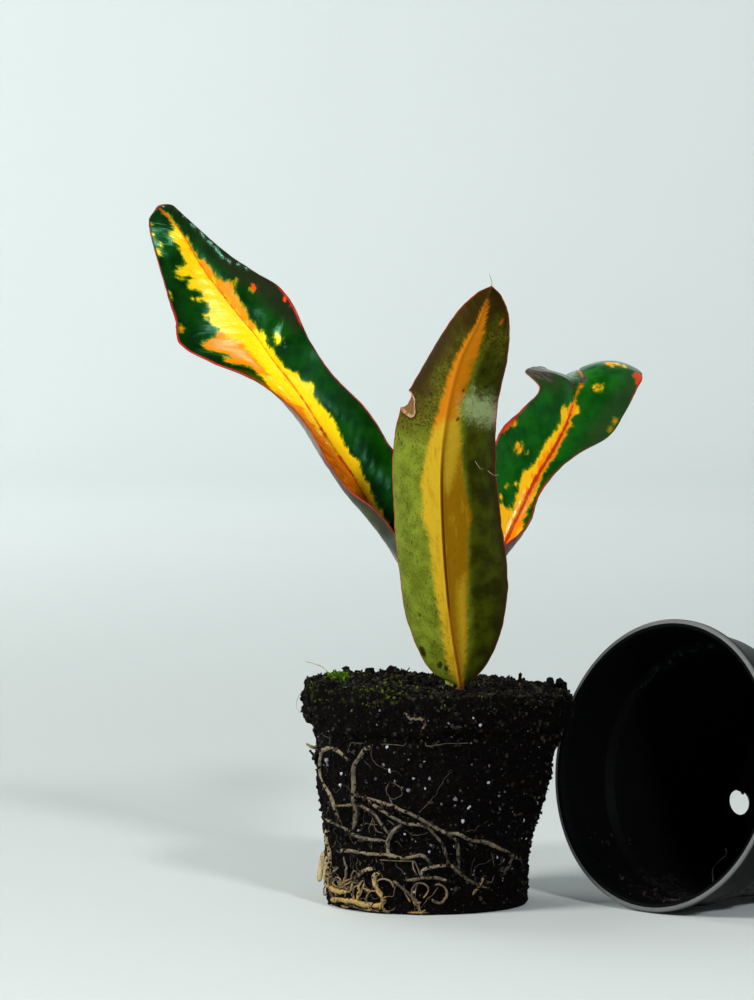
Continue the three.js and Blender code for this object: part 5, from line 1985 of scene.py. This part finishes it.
    def residue(self, count: int, finish: Material, skin: Material) -> list[Piece]:
        """Crumbs of soil, a chip at the hole that is seen, and a thin fibre, all left in the pot.

        Args:
            count: Number of crumbs.
            finish: Finish of the crumbs and the chip.
            skin: Finish of the fibre.

        Returns:
            The pieces.
        """
        chance = random.Random(41)
        places = []
        while len(places) < count:
            turn, depth = chance.gauss(0.1, 0.45), 2.2 + abs(chance.gauss(0, 9))
            if depth > 45:
                continue
            radius = 0.12 + 0.5 * chance.random() ** 3
            places.append((self.inner(turn, depth, radius * 0.55), radius))
        turn, radius, depth = self.chip
        local = Vector((math.sin(turn) * radius, depth, math.cos(turn) * radius))
        for _ in range(self.chip_grains):
            aside = scatter(chance, 0.35)
            places.append((self.place() @ (local * MM) / MM + aside, chance.uniform(0.25, 0.5)))
        crumbs = grains("pot_residue", places, finish, chance, 1.9)
        bm = bmesh.new()
        route = [self.inner(turn, depth, 0.12 + lift) for turn, depth, lift in self.fibre]
        bar(bm, Rail(route).evenly(0.5), lambda share: self.fibre_half, 6)
        thread = finish_mesh("pot_fibre", bm, [skin])
        keep_numbers(thread, {"pale": np.full(len(thread.data.vertices), 1.1)})
        return [crumbs, thread]


# ---- studio ----
@dataclass(frozen=True)
class Lamp:
    """Soft rectangular light, in metres."""

    name: str
    place: Point
    target: Point
    size: tuple[float, float]
    power: float
    colour: Colour
    mirrored: bool = True

    def build(self) -> None:
        """Hangs the light; one that isn't mirrored leaves no highlight on glossy skin."""
        light = bpy.data.lights.new(self.name, "AREA")
        light.shape = "RECTANGLE"
        light.size, light.size_y = self.size
        light.energy = self.power
        light.color = self.colour
        holder = bpy.data.objects.new(self.name, light)
        holder.location = self.place
        holder.rotation_euler = (Vector(self.target) - Vector(self.place)).to_track_quat("-Z", "Y").to_euler()
        holder.visible_camera = False
        holder.visible_glossy = self.mirrored
        bpy.context.scene.collection.objects.link(holder)


@dataclass(frozen=True)
class Studio:
    """Pale floor that curves up all round, soft lights and the camera."""

    eye: Point = (-0.01045, -1.0, 0.139)
    pitch: float = 3.2
    lens: float = 174.96
    sensor: float = 36.0
    drop: float = 0.0001  # how far the floor lies below the part
    floor_radius: float = 1.7
    bend: float = 0.8
    wall: float = 2.4
    sky: Colour = (0.86, 0.95, 1.0)
    sky_strength: float = 0.25
    lamps: tuple[Lamp, ...] = (
        Lamp("window", (-1.01, -0.54, 0.68), (0.0, 0.0, 0.07), (0.42, 0.42), 20.0, (1.0, 0.985, 0.95)),
        Lamp("fill", (0.43, -1.0, 0.64), (0.0, 0.0, 0.09), (0.15, 0.12), 9.5, (0.96, 0.98, 1.0)),
        Lamp("kicker", (-0.20, -0.262, 0.010), (-0.035, 0.0, 0.12), (0.06, 0.06), 0.20, (0.9, 0.97, 1.0)),
        Lamp("backdrop", (-1.25, 0.6, 1.25), (-1.3, 2.5, 0.6), (0.6, 0.6), 36.0, (0.97, 1.0, 1.0), False),
        Lamp("overhead", (-0.9, 1.2, 2.2), (-0.9, 1.2, 0.0), (1.2, 1.2), 22.0, (0.97, 1.0, 1.0), False),
    )

    def build(self, paint: Material) -> None:
        """Builds the studio.

        Args:
            paint: Finish of the floor.
        """
        bm = bmesh.new()
        bmesh.ops.create_circle(bm, cap_ends=False, radius=0.15, segments=96)
        edges = list(bm.edges)
        rings = [(radius, 0.0) for radius in np.linspace(0.35, self.floor_radius, 8)]
        rings += [(self.floor_radius + self.bend * math.sin(turn), self.bend * (1 - math.cos(turn)))
                  for turn in np.linspace(0.12, math.pi / 2, 14)]
        rings.append((self.floor_radius + self.bend, self.wall))
        bmesh.ops.contextual_create(bm, geom=edges)
        for radius, height in rings:
            grown = bmesh.ops.extrude_edge_only(bm, edges=edges)["geom"]
            edges = [item for item in grown if isinstance(item, bmesh.types.BMEdge)]
            for vert in (item for item in grown if isinstance(item, bmesh.types.BMVert)):
                out = Vector((vert.co.x, vert.co.y, 0)).normalized()
                vert.co = out * radius + Vector((0, 0, height))
        for vert in bm.verts:
            vert.co.z -= self.drop
        bmesh.ops.recalc_face_normals(bm, faces=bm.faces[:])
        for face in bm.faces:
            face.smooth = True
        mesh = bpy.data.meshes.new("floor")
        bm.to_mesh(mesh)
        bm.free()
        mesh.materials.append(paint)
        floor = bpy.data.objects.new("floor", mesh)
        bpy.context.scene.collection.objects.link(floor)
        for lamp in self.lamps:
            lamp.build()
        world = bpy.data.worlds.new("sky")
        world.use_nodes = True
        background = world.node_tree.nodes["Background"]
        background.inputs["Color"].default_value = (*self.sky, 1.0)
        background.inputs["Strength"].default_value = self.sky_strength
        scene = bpy.context.scene
        scene.world = world
        scene.view_settings.view_transform = "Standard"
        scene.view_settings.look = "None"
        camera = bpy.data.cameras.new("camera")
        camera.lens = self.lens
        camera.sensor_width = self.sensor
        camera.clip_start, camera.clip_end = 0.01, 20.0
        holder = bpy.data.objects.new("camera", camera)
        holder.location = self.eye
        holder.rotation_euler = (math.radians(90 - self.pitch), 0.0, 0.0)
        scene.collection.objects.link(holder)
        scene.camera = holder


# ---- finishes and threads of this plant ----
THREADS: dict[str, Thread] = {
    "hair_on_tip": (
        ((12.8, -11.9, 126.9), (12.9, -12.0, 128.0), (12.6, -12.2, 129.0), (12.3, -12.3, 129.9)), 0.1, 1),
    "thread_left": (
        ((9.4, -16.2, 92.0), (9.9, -16.9, 91.2), (10.5, -16.8, 90.4), (11.2, -16.0, 90.3)), 0.07, 1),
    "thread_right": (
        ((12.0, -13.6, 89.9), (12.8, -13.3, 89.2), (13.7, -12.6, 88.8), (14.4, -11.6, 89.0)), 0.1, 1),
    "hair_on_soil": (
        ((-20.2, 9.0, 46.2), (-21.9, 10.0, 47.7), (-23.2, 11.0, 48.1), (-24.4, 12.0, 48.4),
         (-25.6, 12.0, 48.6)), 0.1, 1),
    "hair_at_edge": (
        ((-25.4, -6.0, 44.6), (-26.6, -7.0, 43.0), (-27.0, -7.0, 41.0), (-26.0, -8.0, 39.6)), 0.06, 1),
    "splinter": (
        ((-21.6, -0.6, 31.4), (-22.6, -1.2, 31.8), (-23.9, -2.0, 32.2), (-25.2, -2.0, 32.9)), 0.5, 0.4),
    "peeled_sheath": (
        ((-21.0, -2.6, 10.6), (-21.6, -3.4, 8.6), (-22.1, -4.0, 6.5), (-22.4, -3.8, 4.4)), 0.95, 0.12),
    "peeled_strip": (
        ((-20.6, -4.6, 10.0), (-20.9, -5.2, 8.0), (-21.3, -5.4, 6.0), (-21.2, -5.2, 4.8)), 0.5, 0.2),
}
# Underside of the left and right leaves: its own pale green and yellow, greyed as a painted reflection of the
# pale background.
GREY_SHEEN_UNDERSIDE = Underside(
    "grey_sheen_leaf_underside", deep=(0.028, 0.040, 0.028), fresh=(0.055, 0.072, 0.052),
    yellow=(0.13, 0.125, 0.085), gold=(0.11, 0.080, 0.060), gloss=0.4, sheen=(0.9, 1.0, 1.0),
    roughness=(0.3, 0.45))
# Brighter copy of the upper face for the right leaf: painted light, as the lamps light that leaf less than
# the left one.
LIT_UPPER_FACE = UpperFace(
    "lit_leaf_upper_face", deep=(0.0010, 0.048, 0.0010), fresh=(0.006, 0.105, 0.003),
    dusk=(0.020, 0.040, 0.010), yellow=(0.95, 0.50, 0.004), gold=(0.92, 0.24, 0.002), sheen=(0.5, 1.0, 0.8))
LEAF_STALK = Bark("leaf_stalk", (0.070, 0.062, 0.008), (0.085, 0.026, 0.006), (0.16, 0.11, 0.03))
# Skin of the roots at the foot: more orange than the others, its own colour, and brighter as painted light.
ORANGE_LIT_BASE_ROOT = RootSkin("orange_lit_base_root_skin", (0.34, 0.26, 0.12), (0.045, 0.032, 0.016), (0.30, 0.175, 0.035))
DRY_ROOT = RootSkin("dry_skin", (0.40, 0.32, 0.17), (0.13, 0.09, 0.04), (0.42, 0.31, 0.12))
FIBRE = RootSkin("fibre_skin", (0.20, 0.19, 0.16), (0.07, 0.065, 0.055), (0.18, 0.17, 0.14))
CRUMB = Grain("peat_grain", (0.001, 0.0008, 0.0008), (0.007, 0.005, 0.004), (0.040, 0.030, 0.024))
PERLITE = Grain("perlite_grain", (0.05, 0.048, 0.052), (0.17, 0.17, 0.19), (0.52, 0.53, 0.58), 0.7)
MOSS = Grain("moss_grain", (0.004, 0.008, 0.001), (0.024, 0.042, 0.004), (0.13, 0.155, 0.014))
CUSHION = Grain("cushion_grain", (0.010, 0.036, 0.002), (0.045, 0.110, 0.004), (0.15, 0.24, 0.012))
STRAW = Grain("straw_grain", (0.003, 0.002, 0.002), (0.012, 0.007, 0.004), (0.05, 0.03, 0.018))
OUTER_PLASTIC = PotPlastic("pot_outside", gloss=0.09, dusty=0.06)
INNER_PLASTIC = PotPlastic("pot_inside", roughness=0.6, dusty=0.03, gloss=0.03)
LIP_PLASTIC = PotPlastic("pot_lip", roughness=0.42, gloss=0.45, lip=True)


def main() -> None:
    """Builds the part in order and reports each piece."""
    logging.basicConfig(level=logging.INFO, format="%(name)s: %(message)s")
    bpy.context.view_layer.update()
    Studio().build(FloorPaint("floor_paint").material())
    upper = UpperFace("leaf_upper_face").material()
    under = Underside("leaf_underside_face").material()
    grey_sheen_under = GREY_SHEEN_UNDERSIDE.material()
    rim = Rim("leaf_rim").material()
    bark = Bark("bark").material()
    stalk = LEAF_STALK.material()
    report(FRONT_LEAF.build(upper, under, rim, stalk),
           LEFT_LEAF.build(upper, grey_sheen_under, rim, stalk),
           RIGHT_LEAF.build(LIT_UPPER_FACE.material(), grey_sheen_under, rim, stalk),
           Stem().build(bark))

    root_skin = RootSkin("root_skin").material()
    ball = RootBall()
    roots = Roots(ball, routes=ROUTES)
    ball.root_places = roots.all_paths()
    report(ball.build(Peat("peat").material()))
    for name, node, slot, skin in (("front_roots", "roots_front", Slot.ROOT, root_skin),
                                   ("base_roots", "roots_base", Slot.ROOT_BASE, ORANGE_LIT_BASE_ROOT.material()),
                                   ("curled_root", "root_curl", Slot.ROOT, root_skin),
                                   ("back_roots", "roots_back", Slot.ROOT, root_skin)):
        report(roots.build(name, node, slot, skin))
    report(roots.fine(70, root_skin))
    crumb = CRUMB.material()
    litter = Litter(ball, SPECKS, CLODS)
    report(litter.perlite(PERLITE.material()))
    report(litter.crumbs(5200, crumb))
    report(litter.moss(620, MOSS.material()))
    report(litter.cushion(CUSHION.material()))
    report(litter.straws(260, STRAW.material()))
    report(*litter.threads(THREADS, DRY_ROOT.material()))

    pot = Pot()
    report(pot.build(OUTER_PLASTIC.material(), INNER_PLASTIC.material(), LIP_PLASTIC.material()))
    report(*pot.residue(120, crumb, FIBRE.material()))


if __name__ == "__main__":
    main()
